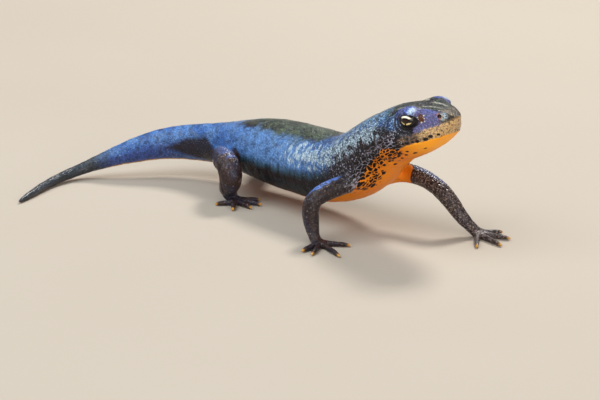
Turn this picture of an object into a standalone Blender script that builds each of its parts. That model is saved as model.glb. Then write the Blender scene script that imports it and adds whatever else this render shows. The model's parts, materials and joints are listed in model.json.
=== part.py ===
"""Alpine newt standing with its head raised, as a set of closed solids that meet at thin cuts.

Metres, +Z up. The trunk runs along +X, and the origin is on the floor under the middle of the animal.
The sizes below are in millimetres.
"""

import math

import bmesh
import bpy
import numpy as np
from mathutils import Vector

MM = 0.001

# Clear space between neighbouring solids
GAP = 0.3

# Points round the body, an even number, with the first on the back
COLUMNS = 24
HALF = COLUMNS // 2
SURFACE_LEVELS = 1

# Middle line of the body from snout to tail tip: x, y, z, half width, reach up, reach down
SPINE = (
    (12.90, 12.90, 16.20, 0.90, 1.30, 0.50),
    (8.25, 12.20, 14.49, 4.30, 3.08, 2.40),
    (5.00, 11.71, 13.29, 4.60, 3.60, 3.05),
    (3.30, 11.45, 12.60, 4.30, 3.75, 3.35),
    (1.20, 11.20, 11.60, 4.10, 3.72, 3.95),
    (-1.76, 11.05, 9.36, 4.45, 3.78, 4.45),
    (-4.45, 11.00, 7.66, 4.70, 3.90, 4.65),
    (-6.84, 11.00, 6.77, 4.80, 4.10, 4.70),
    (-10.30, 11.00, 6.40, 4.90, 4.30, 4.60),
    (-14.50, 11.00, 6.20, 4.95, 4.35, 4.35),
    (-18.80, 10.97, 6.05, 4.75, 4.25, 4.15),
    (-22.50, 10.85, 5.75, 4.20, 3.75, 3.60),
    (-26.00, 10.50, 5.40, 3.40, 3.10, 2.95),
    (-29.00, 9.85, 5.05, 2.55, 2.70, 2.60),
    (-32.00, 8.70, 4.75, 2.10, 2.50, 2.45),
    (-34.80, 6.70, 4.45, 1.75, 2.25, 2.15),
    (-36.90, 3.90, 3.90, 1.45, 1.90, 1.80),
    (-38.90, 1.00, 2.95, 1.15, 1.38, 1.35),
    (-40.80, -1.30, 1.88, 0.90, 0.93, 0.90),
    (-41.85, -3.80, 1.15, 0.72, 0.70, 0.80),
    (-41.90, -6.50, 0.85, 0.62, 0.60, 0.70),
    (-41.10, -9.30, 0.65, 0.55, 0.54, 0.66),
    (-39.50, -13.10, 0.48, 0.45, 0.47, 0.54),
    (-38.30, -16.10, 0.32, 0.18, 0.20, 0.34),
)

# Head sections: distance from the snout, crown height, canthus half width and height,
# cheek half width and height, under-eye half width and height, lip half width, mouth height, throat height
HEAD = (
    (0.50, 1.12, 0.72, 1.04, 0.98, 0.60, 1.02, 0.12, 0.98, -0.36, -0.68),
    (0.90, 1.57, 1.06, 1.49, 1.42, 0.88, 1.52, 0.20, 1.50, -0.52, -0.88),
    (1.42, 1.98, 1.38, 1.91, 1.86, 1.12, 1.98, 0.24, 2.00, -0.63, -1.06),
    (2.10, 2.43, 1.72, 2.37, 2.34, 1.24, 2.50, 0.22, 2.52, -0.67, -1.26),
    (2.90, 2.78, 2.12, 2.76, 2.82, 1.45, 3.02, 0.30, 3.08, -0.63, -1.52),
    (3.85, 3.02, 2.66, 3.20, 3.34, 2.00, 3.58, 0.72, 3.74, -0.60, -1.92),
    (5.30, 3.40, 3.06, 4.12, 3.88, 2.05, 4.16, 0.42, 4.28, -0.66, -2.42),
    (6.75, 3.72, 3.04, 3.56, 3.98, 1.95, 4.40, 0.65, 4.54, -0.74, -2.72),
    (7.70, 3.88, 3.00, 3.46, 4.10, 1.90, 4.58, 0.60, 4.66, -0.88, -2.86),
    (8.60, 3.98, 2.75, 3.28, 4.10, 1.80, 4.60, 0.40, 4.62, -1.00, -2.98),
    (12.00, 3.95, 2.40, 3.00, 3.80, 1.50, 4.15, 0.20, 4.10, -1.20, -3.60),
)
HEAD_TO_NECK = (8.6, 11.4)
MOUTH_CORNER = 7.6
LIP_HALF_GAP = 0.15
MOUTH_DEPTH = 0.30

# The mouth and chin lie behind the snout tip: by how much, and how far along the head it fades
SET_BACK = 1.05
SET_BACK_FADES = 3.7

# Throat fold: distance from the snout, how far it sweeps back at the sides, depth
GULAR_AT = 9.15
GULAR_SWEEP = 2.4
GULAR_DEPTH = 0.28

# Rings along the body; the named ones carry the eyes, nostrils and legs
RINGS = (
    0.5, 0.9, 1.42, 2.1, 2.9, 3.85, 5.3, 6.75, 7.7, 8.6, 9.15, 9.7, 11.2, 12.8, 14.4,
    15.9, 17.2, 18.5, 20.6, 23.2, 26.2, 29.2, 32.2, 35.2, 37.8, 38.9, 40.0, 41.1,
    43.0, 45.6, 48.4, 51.4, 54.4, 57.4, 60.2, 62.8, 65.4, 68.4, 71.4, 74.4, 76.3,
)
NOSTRIL_RING = RINGS.index(1.42)
EYE_RING = RINGS.index(3.85)
FORE_RING = RINGS.index(15.9)
HIND_RING = RINGS.index(37.8)
ORBIT_COLUMN = 3
FORE_COLUMNS = (7, 10)
HIND_COLUMNS = (6, 9)

# Eyes: place in the head as distance back, sideways and height, ball radius
EYE_BACK = 5.28
EYE_SIDE = 3.10
EYE_HEIGHT = 2.20
EYE_RADIUS = 1.20
EYE_CLEAR = 0.12
LID_HALF_LENGTH = 1.14
LID_HALF_HEIGHT = 0.84
ORBIT_RADIUS = 1.50

# Cuts across the body, by distance from the snout
HEAD_CUT = 10.3
NECK_CUT = 14.0
TAIL_CUT = 44.0
TAIL_END_CUT = 58.8

# Legs: points from root to palm (x, y, z, radius), foot middle, heading in degrees, tips of the digits
LEGS = {
    "fore_right": dict(
        side=-1, root=(0.10, -0.90, -0.42),
        points=(
            (-1.15, 6.65, 6.70, 1.30), (-1.75, 4.30, 6.20, 1.18), (-2.05, 2.45, 5.60, 1.18),
            (-2.15, 1.75, 4.75, 1.18), (-2.05, 1.65, 3.30, 1.10), (-1.75, 1.60, 1.85, 0.92),
        ),
        palm=(-0.55, 1.15, 0.40), heading=-8,
        tips=((2.70, 4.00), (4.85, 0.15), (2.00, -1.90), (0.25, -1.95)),
    ),
    "fore_left": dict(
        side=1, root=(0.45, 0.82, -0.35),
        points=(
            (-0.10, 15.25, 6.70, 1.30), (2.80, 15.75, 6.75, 1.12), (5.40, 15.95, 6.00, 1.08),
            (6.75, 16.20, 5.10, 1.08), (7.80, 16.75, 3.70, 0.98), (8.75, 17.35, 2.10, 0.85),
        ),
        palm=(10.15, 18.30, 0.40), heading=10,
        tips=((13.60, 14.85), (15.30, 17.55), (14.20, 20.30), (11.70, 21.50)),
    ),
    "hind_right": dict(
        side=-1, root=(0.0, -1.0, -0.10),
        points=(
            (-23.80, 6.05, 5.20, 1.72), (-21.90, 4.75, 5.50, 1.60), (-20.30, 4.10, 5.50, 1.55),
            (-19.10, 3.60, 4.10, 1.52), (-19.75, 4.00, 2.85, 1.42), (-20.85, 4.45, 1.75, 1.25),
        ),
        palm=(-20.30, 4.90, 0.40), heading=-5,
        tips=((-18.30, 7.90), (-16.60, 6.60), (-16.40, 4.70), (-17.50, 2.40), (-20.90, 2.30)),
    ),
    "hind_left": dict(
        side=1, root=(-0.15, 1.0, -0.10),
        points=(
            (-25.00, 15.05, 5.10, 1.75), (-26.20, 16.75, 5.25, 1.55), (-27.40, 18.10, 4.95, 1.45),
            (-28.50, 18.75, 4.20, 1.35), (-29.70, 19.15, 3.00, 1.20), (-30.80, 19.50, 1.75, 1.00),
        ),
        palm=(-31.40, 20.30, 0.40), heading=105,
        tips=((-28.10, 22.20), (-29.60, 23.90), (-31.90, 24.30), (-34.20, 23.20), (-35.00, 20.90)),
    ),
}

# Weights of up, outward and heading in the direction that each leg ring calls dorsal
DORSAL = (
    (1.0, 0.0, 0.0), (1.0, 0.0, 0.0), (0.8, 0.4, 0.1),
    (0.35, 0.6, 0.5), (0.0, 0.45, 0.9), (0.25, 0.1, 1.0),
)
PALM_HALF_THICKNESS = 0.46
PALM_REACH = 1.25
DIGIT_RADII = (0.36, 0.34, 0.30, 0.20)
DIGIT_ALONG = (0.22, 0.52, 0.80, 1.0)

# Share of the triangles kept on the long plain nodes
LIGHTENED = {"torso": 0.55, "tail_base": 0.6, "tail_end": 0.6, "neck": 0.8}

COLOURS = {
    "head": (0.035, 0.045, 0.075), "neck": (0.055, 0.045, 0.055), "torso": (0.04, 0.09, 0.19),
    "tail_base": (0.05, 0.10, 0.24), "tail_end": (0.05, 0.06, 0.05),
    "eye_left": (0.62, 0.50, 0.18), "eye_right": (0.62, 0.50, 0.18),
    "leg": (0.045, 0.032, 0.028),
}


def smooth_through(rows):
    """A smooth function through rows that each hold a position and its values."""
    rows = np.array(rows, float)
    x, y = rows[:, 0], rows[:, 1:]
    slope = np.gradient(y, x, axis=0)

    def at(s):
        i = int(np.clip(np.searchsorted(x, s) - 1, 0, len(x) - 2))
        w = x[i + 1] - x[i]
        t = (s - x[i]) / w
        return (
            (1 + 2 * t) * (1 - t) ** 2 * y[i]
            + t * (1 - t) ** 2 * w * slope[i]
            + t * t * (3 - 2 * t) * y[i + 1]
            + t * t * (t - 1) * w * slope[i + 1]
        )

    return at


def spine_rows():
    places = np.array([row[:3] for row in SPINE])
    steps = np.linalg.norm(np.diff(places, axis=0), axis=1)
    lengths = np.concatenate([[0], np.cumsum(steps)])
    return [(s, *row) for s, row in zip(lengths, SPINE)]


spine = smooth_through(spine_rows())
head = smooth_through(HEAD)


def frame_at(s):
    """Middle, forward, left and up of the body at a distance from the snout."""
    middle = Vector(spine(s)[:3])
    forward = (Vector(spine(max(s - 0.4, 0))[:3]) - Vector(spine(s + 0.4)[:3])).normalized()
    left = Vector((-forward.y, forward.x, 0)).normalized()
    return middle, forward, left, forward.cross(left)


def round_section(s):
    """Half of a body section, back to belly, as pairs of side reach and height."""
    _, _, _, wide, up, down = spine(s)
    power = 2 / np.interp(s, (30, 44, 52, 77), (2.2, 2.0, 1.75, 1.9))
    points = []
    for k in range(HALF + 1):
        turn = math.pi * k / HALF
        side = wide * abs(math.sin(turn)) ** power
        high = abs(math.cos(turn)) ** power * (up if k <= HALF / 2 else -down)
        points.append((side, high))
    return points


def head_section(s):
    crown, ca, ch, ka, kh, ua, uh, lip, mouth, throat = head(s)
    open_mouth = np.interp(s, (0, MOUTH_CORNER - 0.6, MOUTH_CORNER + 0.6), (1, 1, 0))
    apart = LIP_HALF_GAP * (2 - open_mouth)
    deep = mouth - throat
    return [
        (0, crown),
        (0.36 * ca, crown),
        (0.72 * ca, 0.55 * crown + 0.45 * ch),
        (ca, ch),
        (ka, kh),
        (ua, uh),
        (lip, mouth + apart),
        (lip - MOUTH_DEPTH * open_mouth, mouth),
        (lip - 0.08, mouth - apart),
        (0.91 * lip, mouth - apart - 0.25 * (deep - apart)),
        (0.71 * lip, mouth - apart - 0.64 * (deep - apart)),
        (0.40 * lip, mouth - apart - 0.92 * (deep - apart)),
        (0, throat),
    ]


def section(s):
    blend = np.interp(s, HEAD_TO_NECK, (0, 1))
    if blend == 0:
        return head_section(s)
    body = round_section(s)
    if blend == 1:
        return body
    return [
        ((1 - blend) * a + blend * c, (1 - blend) * b + blend * d)
        for (a, b), (c, d) in zip(head_section(s), body)
    ]


def set_back(s, k):
    """How far a point of a head ring lies behind the others, from the lip down."""
    return SET_BACK * max(0.0, 1 - s / SET_BACK_FADES) * np.interp(k, (2.8, 6, 8.5, 12), (0, 1.0, 1.35, 1.25))


def ring_points(s):
    """A whole ring: down the right side from the back, then up the left."""
    middle, forward, left, up = frame_at(s)
    half = section(s)
    near_fold = max(0, 1 - abs(s - GULAR_AT) / 4.0)
    in_fold = GULAR_DEPTH if abs(s - GULAR_AT) < 0.01 else 0
    points = []
    for j in range(COLUMNS):
        k = j if j <= HALF else COLUMNS - j
        side, high = half[k]
        low = np.interp(k, (6, 8), (0, 1))
        sweep = GULAR_SWEEP * near_fold * low * (side / 4.4) ** 2 + set_back(s, k)
        shrink = 1 - in_fold * low / math.hypot(side, high)
        sign = -1 if j <= HALF else 1
        points.append(
            middle + left * (sign * side * shrink) + up * (high * shrink) - forward * sweep
        )
    return points


def extrude_loop(bm, loop, places):
    """Extrudes a closed loop of vertices and puts the new one at the given places."""
    edges = [bm.edges.get((a, b)) for a, b in zip(loop, loop[1:] + loop[:1])]
    made = bmesh.ops.extrude_edge_only(bm, edges=edges)["geom"]
    fresh = {item for item in made if isinstance(item, bmesh.types.BMVert)}
    new = []
    for vert, place in zip(loop, places):
        (twin,) = [e.other_vert(vert) for e in vert.link_edges if e.other_vert(vert) in fresh]
        twin.co = place
        new.append(twin)
    return new


def extrude_face(bm, face, places):
    """Extrudes one face and puts its corners at the given places, in the same order."""
    corners = list(face.verts)
    made = bmesh.ops.extrude_discrete_faces(bm, faces=[face])["faces"][0]
    for vert, place in zip(made.verts, places):
        vert.co = place
    return made


def eye_frame(side):
    """Centre of an eye with its outward, forward and upward directions."""
    middle, forward, left, up = frame_at(EYE_BACK)
    centre = middle + left * (side * EYE_SIDE) + up * EYE_HEIGHT
    out = (left * side * 0.95 + forward * 0.22 + up * -0.13).normalized()
    ahead = (forward - out * forward.dot(out)).normalized()
    return centre, out, ahead, out.cross(ahead) * (1 if side < 0 else -1)


def column(side, k):
    return k % COLUMNS if side < 0 else (COLUMNS - k) % COLUMNS


def add_eye(bm, rings, side):
    """Turns a block of four faces into the raised rim, lids and hollow of one eye."""
    centre, out, ahead, above = eye_frame(side)
    top, mid, low = (column(side, ORBIT_COLUMN + d) for d in range(3))
    front, mid_ring, back = rings[EYE_RING : EYE_RING + 3]
    loop = [front[top], mid_ring[top], back[top], back[mid], back[low], mid_ring[low], front[low], front[mid]]
    bmesh.ops.delete(bm, geom=[mid_ring[mid]], context="VERTS")
    turns = [math.atan2((v.co - centre).dot(above), (v.co - centre).dot(ahead)) for v in loop]

    def oval(length, height, reach, tilt=0.0):
        return [
            centre + out * (reach + tilt * math.sin(t)) + ahead * (length * math.cos(t)) + above * (height * math.sin(t))
            for t in turns
        ]

    rim = extrude_loop(bm, loop, oval(ORBIT_RADIUS + 0.06, ORBIT_RADIUS - 0.08, 0.78, 0.08))
    lid = extrude_loop(bm, rim, oval(LID_HALF_LENGTH + 0.05, LID_HALF_HEIGHT + 0.05, 1.18, 0.03))
    inner = extrude_loop(bm, lid, oval(LID_HALF_LENGTH - 0.02, LID_HALF_HEIGHT - 0.02, 0.45))
    bm.faces.new(inner)


def add_nostril(bm, rings, side):
    """Sinks a small pit in the face between the canthus and the cheek."""
    a, b = rings[NOSTRIL_RING], rings[NOSTRIL_RING + 1]
    k = [column(side, ORBIT_COLUMN), column(side, ORBIT_COLUMN + 1)]
    corners = [a[k[0]], a[k[1]], b[k[1]], b[k[0]]]
    (face,) = [f for f in a[k[0]].link_faces if all(v in f.verts for v in corners)]
    centre, normal = face.calc_center_median(), face.normal.copy()
    for share, depth in ((0.52, 0.0), (0.30, 0.10), (0.24, 0.38)):
        places = [centre + (v.co - centre) * share - normal * depth for v in corners]
        if face.verts[0] in corners:
            order = [corners.index(v) for v in face.verts]
        face = extrude_face(bm, face, [places[i] for i in order])


def leg_ring(middle, along, dorsal, radius, count, turn=0.0):
    """Points round a leg, half of them on its dorsal side."""
    dorsal = (dorsal - along * dorsal.dot(along)).normalized()
    side = along.cross(dorsal)
    shrink = 2 / 3 + math.cos(2 * math.pi / count) / 3
    points = []
    for j in range(count):
        angle = 2 * math.pi * (j + 0.5) / count
        points.append(middle + (side * math.cos(angle) + dorsal * math.sin(angle)) * (radius / shrink))
    return points


def palm_ring(leg, count, reach, high, spread):
    """Points round the palm: an arc over its back and the same arc under its sole."""
    middle = Vector(leg["palm"])
    heading = math.radians(leg["heading"])
    half = count // 2
    arc = []
    for j in range(half):
        turn = heading - math.radians(spread) * (1 - 2 * j / (half - 1))
        arc.append(middle + Vector((math.cos(turn), math.sin(turn), 0)) * reach)
    top = [p + Vector((0, 0, high)) for p in arc]
    sole = [p - Vector((0, 0, high)) for p in reversed(arc)]
    return top + sole


def add_leg(bm, rings, leg, first_ring, columns, length):
    """Grows a leg from a block of the body's faces and digits from the end of its palm."""
    side = leg["side"]
    ks = [column(side, k) for k in range(columns[0], columns[1] + 1)]
    block = rings[first_ring : first_ring + length + 1]
    loop = [block[0][k] for k in ks] + [row[ks[-1]] for row in block[1:-1]]
    loop += [block[-1][k] for k in reversed(ks)] + [row[ks[0]] for row in reversed(block[1:-1])]
    held = {row[k] for row in block for k in ks}
    faces = [f for f in bm.faces if all(v in held for v in f.verts)]
    bmesh.ops.delete(bm, geom=faces, context="FACES")
    count = len(loop)

    points = [Vector(p[:3]) for p in leg["points"]]
    radii = [p[3] for p in leg["points"]]
    palm = Vector(leg["palm"])
    angle = math.radians(leg["heading"])
    heading = Vector((math.cos(angle), math.sin(angle), 0))
    outward = points[2] - points[0]
    outward.z = 0
    outward.normalize()
    hub = sum((v.co for v in loop), Vector()) / count
    path = [hub] + points + [palm]

    sets = []
    for i, (point, radius) in enumerate(zip(points, radii)):
        along = (path[i + 2] - path[i]).normalized() if i else Vector(leg["root"]).normalized()
        up, out, ahead = DORSAL[i]
        dorsal = Vector((0, 0, up)) + outward * out + heading * ahead
        sets.append(leg_ring(point, along, dorsal, radius, count))

    best = min(
        (
            (sum((v.co - p).length_squared for v, p in zip(order[shift:] + order[:shift], sets[0])), shift, way)
            for way, order in ((0, loop), (1, loop[::-1]))
            for shift in range(count)
        )
    )
    order = loop[::-1] if best[2] else loop
    ring = order[best[1] :] + order[: best[1]]
    for places in sets:
        ring = extrude_loop(bm, ring, places)
    ring = extrude_loop(bm, ring, palm_ring(leg, count, 0.55, PALM_HALF_THICKNESS + 0.06, 78))
    ring = extrude_loop(bm, ring, palm_ring(leg, count, PALM_REACH, PALM_HALF_THICKNESS, 68))

    def turn(tip):
        lean = math.atan2(tip[1] - palm.y, tip[0] - palm.x) - angle
        return math.atan2(math.sin(lean), math.cos(lean))

    for q, tip in enumerate(sorted(leg["tips"], key=turn)):
        corners = [ring[q], ring[q + 1], ring[count - 2 - q], ring[count - 1 - q]]
        base = sum((v.co for v in corners), Vector()) / 4
        across = (corners[0].co - corners[1].co).normalized()
        add_digit(bm, bm.faces.new(corners), base, Vector((*tip, 0.26)), across)


def add_digit(bm, face, base, tip, across):
    run = tip - base
    flat = Vector((run.x, run.y, 0)).normalized()
    final = Vector((flat.y, -flat.x, 0))
    for t, radius in zip(DIGIT_ALONG, DIGIT_RADII):
        middle = base + run * t
        middle.z = 0.24 + 0.14 * math.sin(math.pi * t)
        side = (across * (1 - min(1, t * 2)) + final * min(1, t * 2)).normalized()
        r = radius / 0.93
        high = Vector((0, 0, r))
        places = [middle + side * r + high, middle - side * r + high, middle - side * r - high, middle + side * r - high]
        face = extrude_face(bm, face, places)


def build_cage():
    """The whole animal as one closed surface of quads."""
    bm = bmesh.new()
    made = bmesh.ops.create_circle(bm, segments=COLUMNS, radius=1.0)["verts"]
    ring = list(made)
    for vert, place in zip(ring, ring_points(RINGS[0])):
        vert.co = place
    rings = [ring]
    for s in RINGS[1:]:
        ring = extrude_loop(bm, ring, ring_points(s))
        rings.append(ring)

    # The front of the snout: the first ring drawn in to the middle line and merged left to right
    middle, forward, _, up = frame_at(RINGS[0])
    half = head_section(RINGS[0])
    reach = (0, 0.08, 0.14, 0.22, 0.32, 0.34, 0.30, 0.02, 0.12, 0.08, 0.04, 0.02, 0)
    places = []
    for j in range(COLUMNS):
        k = j if j <= HALF else COLUMNS - j
        places.append(middle + up * (half[k][1] * 0.985) + forward * (reach[k] - set_back(RINGS[0], k)))
    front = extrude_loop(bm, rings[0], places)
    bmesh.ops.remove_doubles(bm, verts=front, dist=1e-5)
    ends = [v for v in bm.verts if len(v.link_edges) == 2]
    bmesh.ops.dissolve_verts(bm, verts=ends)

    # The tip of the tail
    tip = sum((v.co for v in rings[-1]), Vector()) / COLUMNS - frame_at(RINGS[-1])[1] * 0.8
    tip.z = max(tip.z, 0.2)
    last = extrude_loop(bm, rings[-1], [tip] * COLUMNS)
    bmesh.ops.remove_doubles(bm, verts=last, dist=1e-5)

    bmesh.ops.recalc_face_normals(bm, faces=bm.faces)
    for side in (-1, 1):
        add_nostril(bm, rings, side)
    for side in (-1, 1):
        add_eye(bm, rings, side)
    for name, leg in LEGS.items():
        fore = name.startswith("fore")
        add_leg(
            bm, rings, leg,
            FORE_RING if fore else HIND_RING,
            FORE_COLUMNS if fore else HIND_COLUMNS,
            2 if fore else 3,
        )
    loose = [v for v in bm.verts if not v.link_faces]
    bmesh.ops.delete(bm, geom=loose, context="VERTS")
    bmesh.ops.recalc_face_normals(bm, faces=bm.faces)
    return bm


def new_object(name, bm, collection):
    mesh = bpy.data.meshes.new(name)
    bm.to_mesh(mesh)
    bm.free()
    made = bpy.data.objects.new(name, mesh)
    collection.objects.link(made)
    return made


def applied(obj, name, collection):
    """A new object that holds the evaluated mesh of another, which is then removed."""
    bpy.context.view_layer.update()
    graph = bpy.context.evaluated_depsgraph_get()
    mesh = bpy.data.meshes.new_from_object(obj.evaluated_get(graph))
    bpy.data.objects.remove(obj, do_unlink=True)
    made = bpy.data.objects.new(name, mesh)
    collection.objects.link(made)
    return made


def disc(bm, outline, normal):
    """A thin closed plate over an outline, one gap thick."""
    half = normal.normalized() * (GAP / 2)
    front = [bm.verts.new(p + half) for p in outline]
    cap = bm.faces.new(front)
    made = bmesh.ops.extrude_face_region(bm, geom=[cap])["geom"]
    bmesh.ops.translate(bm, verts=[v for v in made if isinstance(v, bmesh.types.BMVert)], vec=-half * 2)


def cut_plates():
    """All the thin cuts between the nodes as one cutter."""
    bm = bmesh.new()
    for s in (HEAD_CUT, NECK_CUT, TAIL_CUT, TAIL_END_CUT):
        middle, forward, left, up = frame_at(s)
        half = section(s)
        outline = []
        for j in range(COLUMNS):
            k = j if j <= HALF else COLUMNS - j
            side, high = half[k]
            length = math.hypot(side, high)
            grow = 1 + (0.25 + 0.03 * length) / length
            sign = -1 if j <= HALF else 1
            outline.append(middle + left * (sign * side * grow) + up * (high * grow))
        disc(bm, outline, forward)
    for leg in LEGS.values():
        points = [Vector(p[:3]) for p in leg["points"]]
        radii = [p[3] for p in leg["points"]]
        path = points + [Vector(leg["palm"])]
        for i in (0, 2, 5):
            along = (path[i + 1] - path[i - 1]).normalized() if i else Vector(leg["root"])
            place = points[i] if i != 2 else (points[2] + points[3]) / 2
            if i == 2:
                along = (points[4] - points[1]).normalized()
            outline = leg_ring(place, along, Vector((0.3, 0.2, 1)), radii[i] * 1.25 + 0.2, 16)
            disc(bm, outline, along)
    bmesh.ops.recalc_face_normals(bm, faces=bm.faces)
    return bm


def ball(bm, centre, radius, out, across, levels=(16, 10)):
    made = bmesh.ops.create_uvsphere(bm, u_segments=levels[0], v_segments=levels[1], radius=radius)["verts"]
    third = out.cross(across)
    for vert in made:
        x, y, z = vert.co
        vert.co = centre + across * x + third * y + out * z


def boolean(obj, cutter, collection):
    made = obj.modifiers.new("cut", "BOOLEAN")
    made.operation = "DIFFERENCE"
    made.solver = "MANIFOLD"
    made.object = cutter
    result = applied(obj, obj.name + "_cut", collection)
    bpy.data.objects.remove(cutter, do_unlink=True)
    return result


def loose_parts(bm):
    """The vertices of each separate closed surface."""
    left = set(bm.verts)
    found = []
    while left:
        stack = [left.pop()]
        part = {stack[0]}
        while stack:
            for edge in stack.pop().link_edges:
                for vert in edge.verts:
                    if vert in left:
                        left.remove(vert)
                        part.add(vert)
                        stack.append(vert)
        found.append(part)
    return found


def node_places():
    """A point inside each flesh node, by its name."""
    places = {
        "head": frame_at(5.5)[0] + Vector((0, 0, 0.5)),
        "neck": frame_at((HEAD_CUT + NECK_CUT) / 2)[0],
        "torso": frame_at(29)[0],
        "tail_base": frame_at((TAIL_CUT + TAIL_END_CUT) / 2)[0],
        "tail_end": frame_at((TAIL_END_CUT + 77) / 2)[0],
    }
    for name, leg in LEGS.items():
        end, side = name.split("_")
        points = [Vector(p[:3]) for p in leg["points"]]
        names = ("upper_arm", "forearm", "forefoot") if end == "fore" else ("thigh", "shank", "hind_foot")
        places[f"{names[0]}_{side}"] = points[1]
        places[f"{names[1]}_{side}"] = points[4]
        places[f"{names[2]}_{side}"] = Vector(leg["palm"])
    return places


def material_for(name):
    colour = COLOURS.get(name, COLOURS["leg"])
    material = bpy.data.materials.new(name + "_surface")
    material.use_nodes = True
    shader = material.node_tree.nodes["Principled BSDF"]
    shader.inputs["Base Color"].default_value = (*colour, 1)
    shader.inputs["Roughness"].default_value = 0.08 if name.startswith("eye") else 0.32
    shader.inputs["Metallic"].default_value = 0.0
    return material


def main():
    for obj in list(bpy.data.objects):
        bpy.data.objects.remove(obj, do_unlink=True)
    parts = bpy.data.collections.new("alpine_newt")
    cutters = bpy.data.collections.new("cutters")
    for collection in (parts, cutters):
        bpy.context.scene.collection.children.link(collection)

    whole = new_object("whole", build_cage(), cutters)
    surface = whole.modifiers.new("surface", "SUBSURF")
    surface.levels = surface.render_levels = SURFACE_LEVELS
    whole = applied(whole, "skin", cutters)
    for vert in whole.data.vertices:
        vert.co.z = max(vert.co.z, 0.0)

    sockets = bmesh.new()
    for side in (-1, 1):
        centre, out, ahead, _ = eye_frame(side)
        ball(sockets, centre, EYE_RADIUS + EYE_CLEAR, out, ahead)
    whole = boolean(whole, new_object("sockets", sockets, cutters), cutters)
    whole = boolean(whole, new_object("plates", cut_plates(), cutters), cutters)

    bm = bmesh.new()
    bm.from_mesh(whole.data)
    places = node_places()
    found = sorted(loose_parts(bm), key=len, reverse=True)[: len(places)]
    middles = [(part, sum((v.co for v in part), Vector()) / len(part)) for part in found]
    made = []
    for name, place in places.items():
        part, _ = min(middles, key=lambda m: (m[1] - place).length)
        middles = [m for m in middles if m[0] is not part]
        index = {v: i for i, v in enumerate(sorted(part, key=lambda v: v.index))}
        piece = bmesh.new()
        verts = [piece.verts.new(v.co) for v in index]
        for face in bm.faces:
            if face.verts[0] in index:
                piece.faces.new([verts[index[v]] for v in face.verts])
        if piece.calc_volume(signed=True) < 0:
            bmesh.ops.reverse_faces(piece, faces=piece.faces)
        bmesh.ops.dissolve_degenerate(piece, edges=piece.edges, dist=0.004)
        bmesh.ops.triangulate(piece, faces=piece.faces)
        node = new_object(name, piece, parts)
        if name in LIGHTENED:
            thin = node.modifiers.new("lighten", "DECIMATE")
            thin.ratio = LIGHTENED[name]
            node = applied(node, name, parts)
            node.name = name
        made.append(node)
    bm.free()
    bpy.data.objects.remove(whole, do_unlink=True)

    for side, name in ((1, "eye_left"), (-1, "eye_right")):
        centre, out, ahead, _ = eye_frame(side)
        eye = bmesh.new()
        ball(eye, centre, EYE_RADIUS, out, ahead)
        made.append(new_object(name, eye, parts))

    corners = np.array([v.co for obj in made for v in obj.data.vertices])
    low, high = corners.min(axis=0), corners.max(axis=0)
    shift = Vector(((low[0] + high[0]) / 2, (low[1] + high[1]) / 2, low[2]))
    for obj in made:
        for vert in obj.data.vertices:
            vert.co = (vert.co - shift) * MM
        obj.data.shade_smooth()
        obj.data.set_sharp_from_angle(angle=math.radians(50))
        obj.data.materials.clear()
        obj.data.materials.append(material_for(obj.name))
    bpy.data.collections.remove(cutters)


main()
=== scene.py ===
"""Looks of the alpine newt: one moist granular skin, wet eyes, a pale floor and soft light.

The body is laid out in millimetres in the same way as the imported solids,
and is then moved onto them.
"""

import json
import math

import bmesh
import bpy
import numpy as np
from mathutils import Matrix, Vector, noise

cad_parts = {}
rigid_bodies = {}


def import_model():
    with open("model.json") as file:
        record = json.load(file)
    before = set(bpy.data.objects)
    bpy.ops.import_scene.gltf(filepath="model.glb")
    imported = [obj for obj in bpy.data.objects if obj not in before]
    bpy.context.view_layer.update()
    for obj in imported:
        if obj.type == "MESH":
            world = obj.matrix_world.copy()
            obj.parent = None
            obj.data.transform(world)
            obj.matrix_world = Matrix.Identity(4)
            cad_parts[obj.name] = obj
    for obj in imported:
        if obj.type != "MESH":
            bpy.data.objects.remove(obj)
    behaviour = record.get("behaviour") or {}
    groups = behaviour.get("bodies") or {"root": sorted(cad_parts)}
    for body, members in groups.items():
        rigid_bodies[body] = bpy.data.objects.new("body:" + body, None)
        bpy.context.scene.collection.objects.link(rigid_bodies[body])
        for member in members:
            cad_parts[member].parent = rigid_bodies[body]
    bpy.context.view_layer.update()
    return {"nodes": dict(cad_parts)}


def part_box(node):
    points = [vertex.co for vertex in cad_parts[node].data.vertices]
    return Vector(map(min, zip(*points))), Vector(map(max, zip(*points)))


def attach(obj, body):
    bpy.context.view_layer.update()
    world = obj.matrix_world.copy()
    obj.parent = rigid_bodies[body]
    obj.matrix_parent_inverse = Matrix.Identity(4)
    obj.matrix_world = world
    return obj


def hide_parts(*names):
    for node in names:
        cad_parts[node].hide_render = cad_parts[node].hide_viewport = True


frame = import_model()

MM = 0.001

# Skin: its subdivision, its triangles in the end, spacing and depth of its folds and creases,
# how many creases a leg has, and the height of its lumps and wrinkles
SKIN_LEVELS = 3
SKIN_TRIANGLES = 186000
COSTAL_SPACING = 1.7
COSTAL_DEPTH = 0.18
NECK_FOLD_SPACING = 1.5
NECK_FOLD_DEPTH = 0.09
ORBIT_CREASE_DEPTH = 0.10
JOINT_CREASE_DEPTH = 0.05
JOINT_CREASES = 9
LUMP_HEIGHT = 0.045
WRINKLE_HEIGHT = 0.030
EYE_CORNER_HEIGHT = 0.05

# Distances from the snout at which a feature of the skin begins, is full, begins to fade and ends
ZONES = {
    "ridge": (1.6, 2.6, 6.5, 8.0),
    "pale tops": (5.5, 7.5, 17.0, 24.0),
    "blotches": (6.2, 7.8, 15.5, 19.0),
    "neck folds": (8.0, 10.0, 15.5, 18.0),
    "dapples": (8.5, 12.0, 22.0, 31.0),
    "dark flank": (17.0, 22.0, 38.0, 43.0),
    "costal grooves": (17.5, 20.5, 37.0, 40.0),
}

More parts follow.
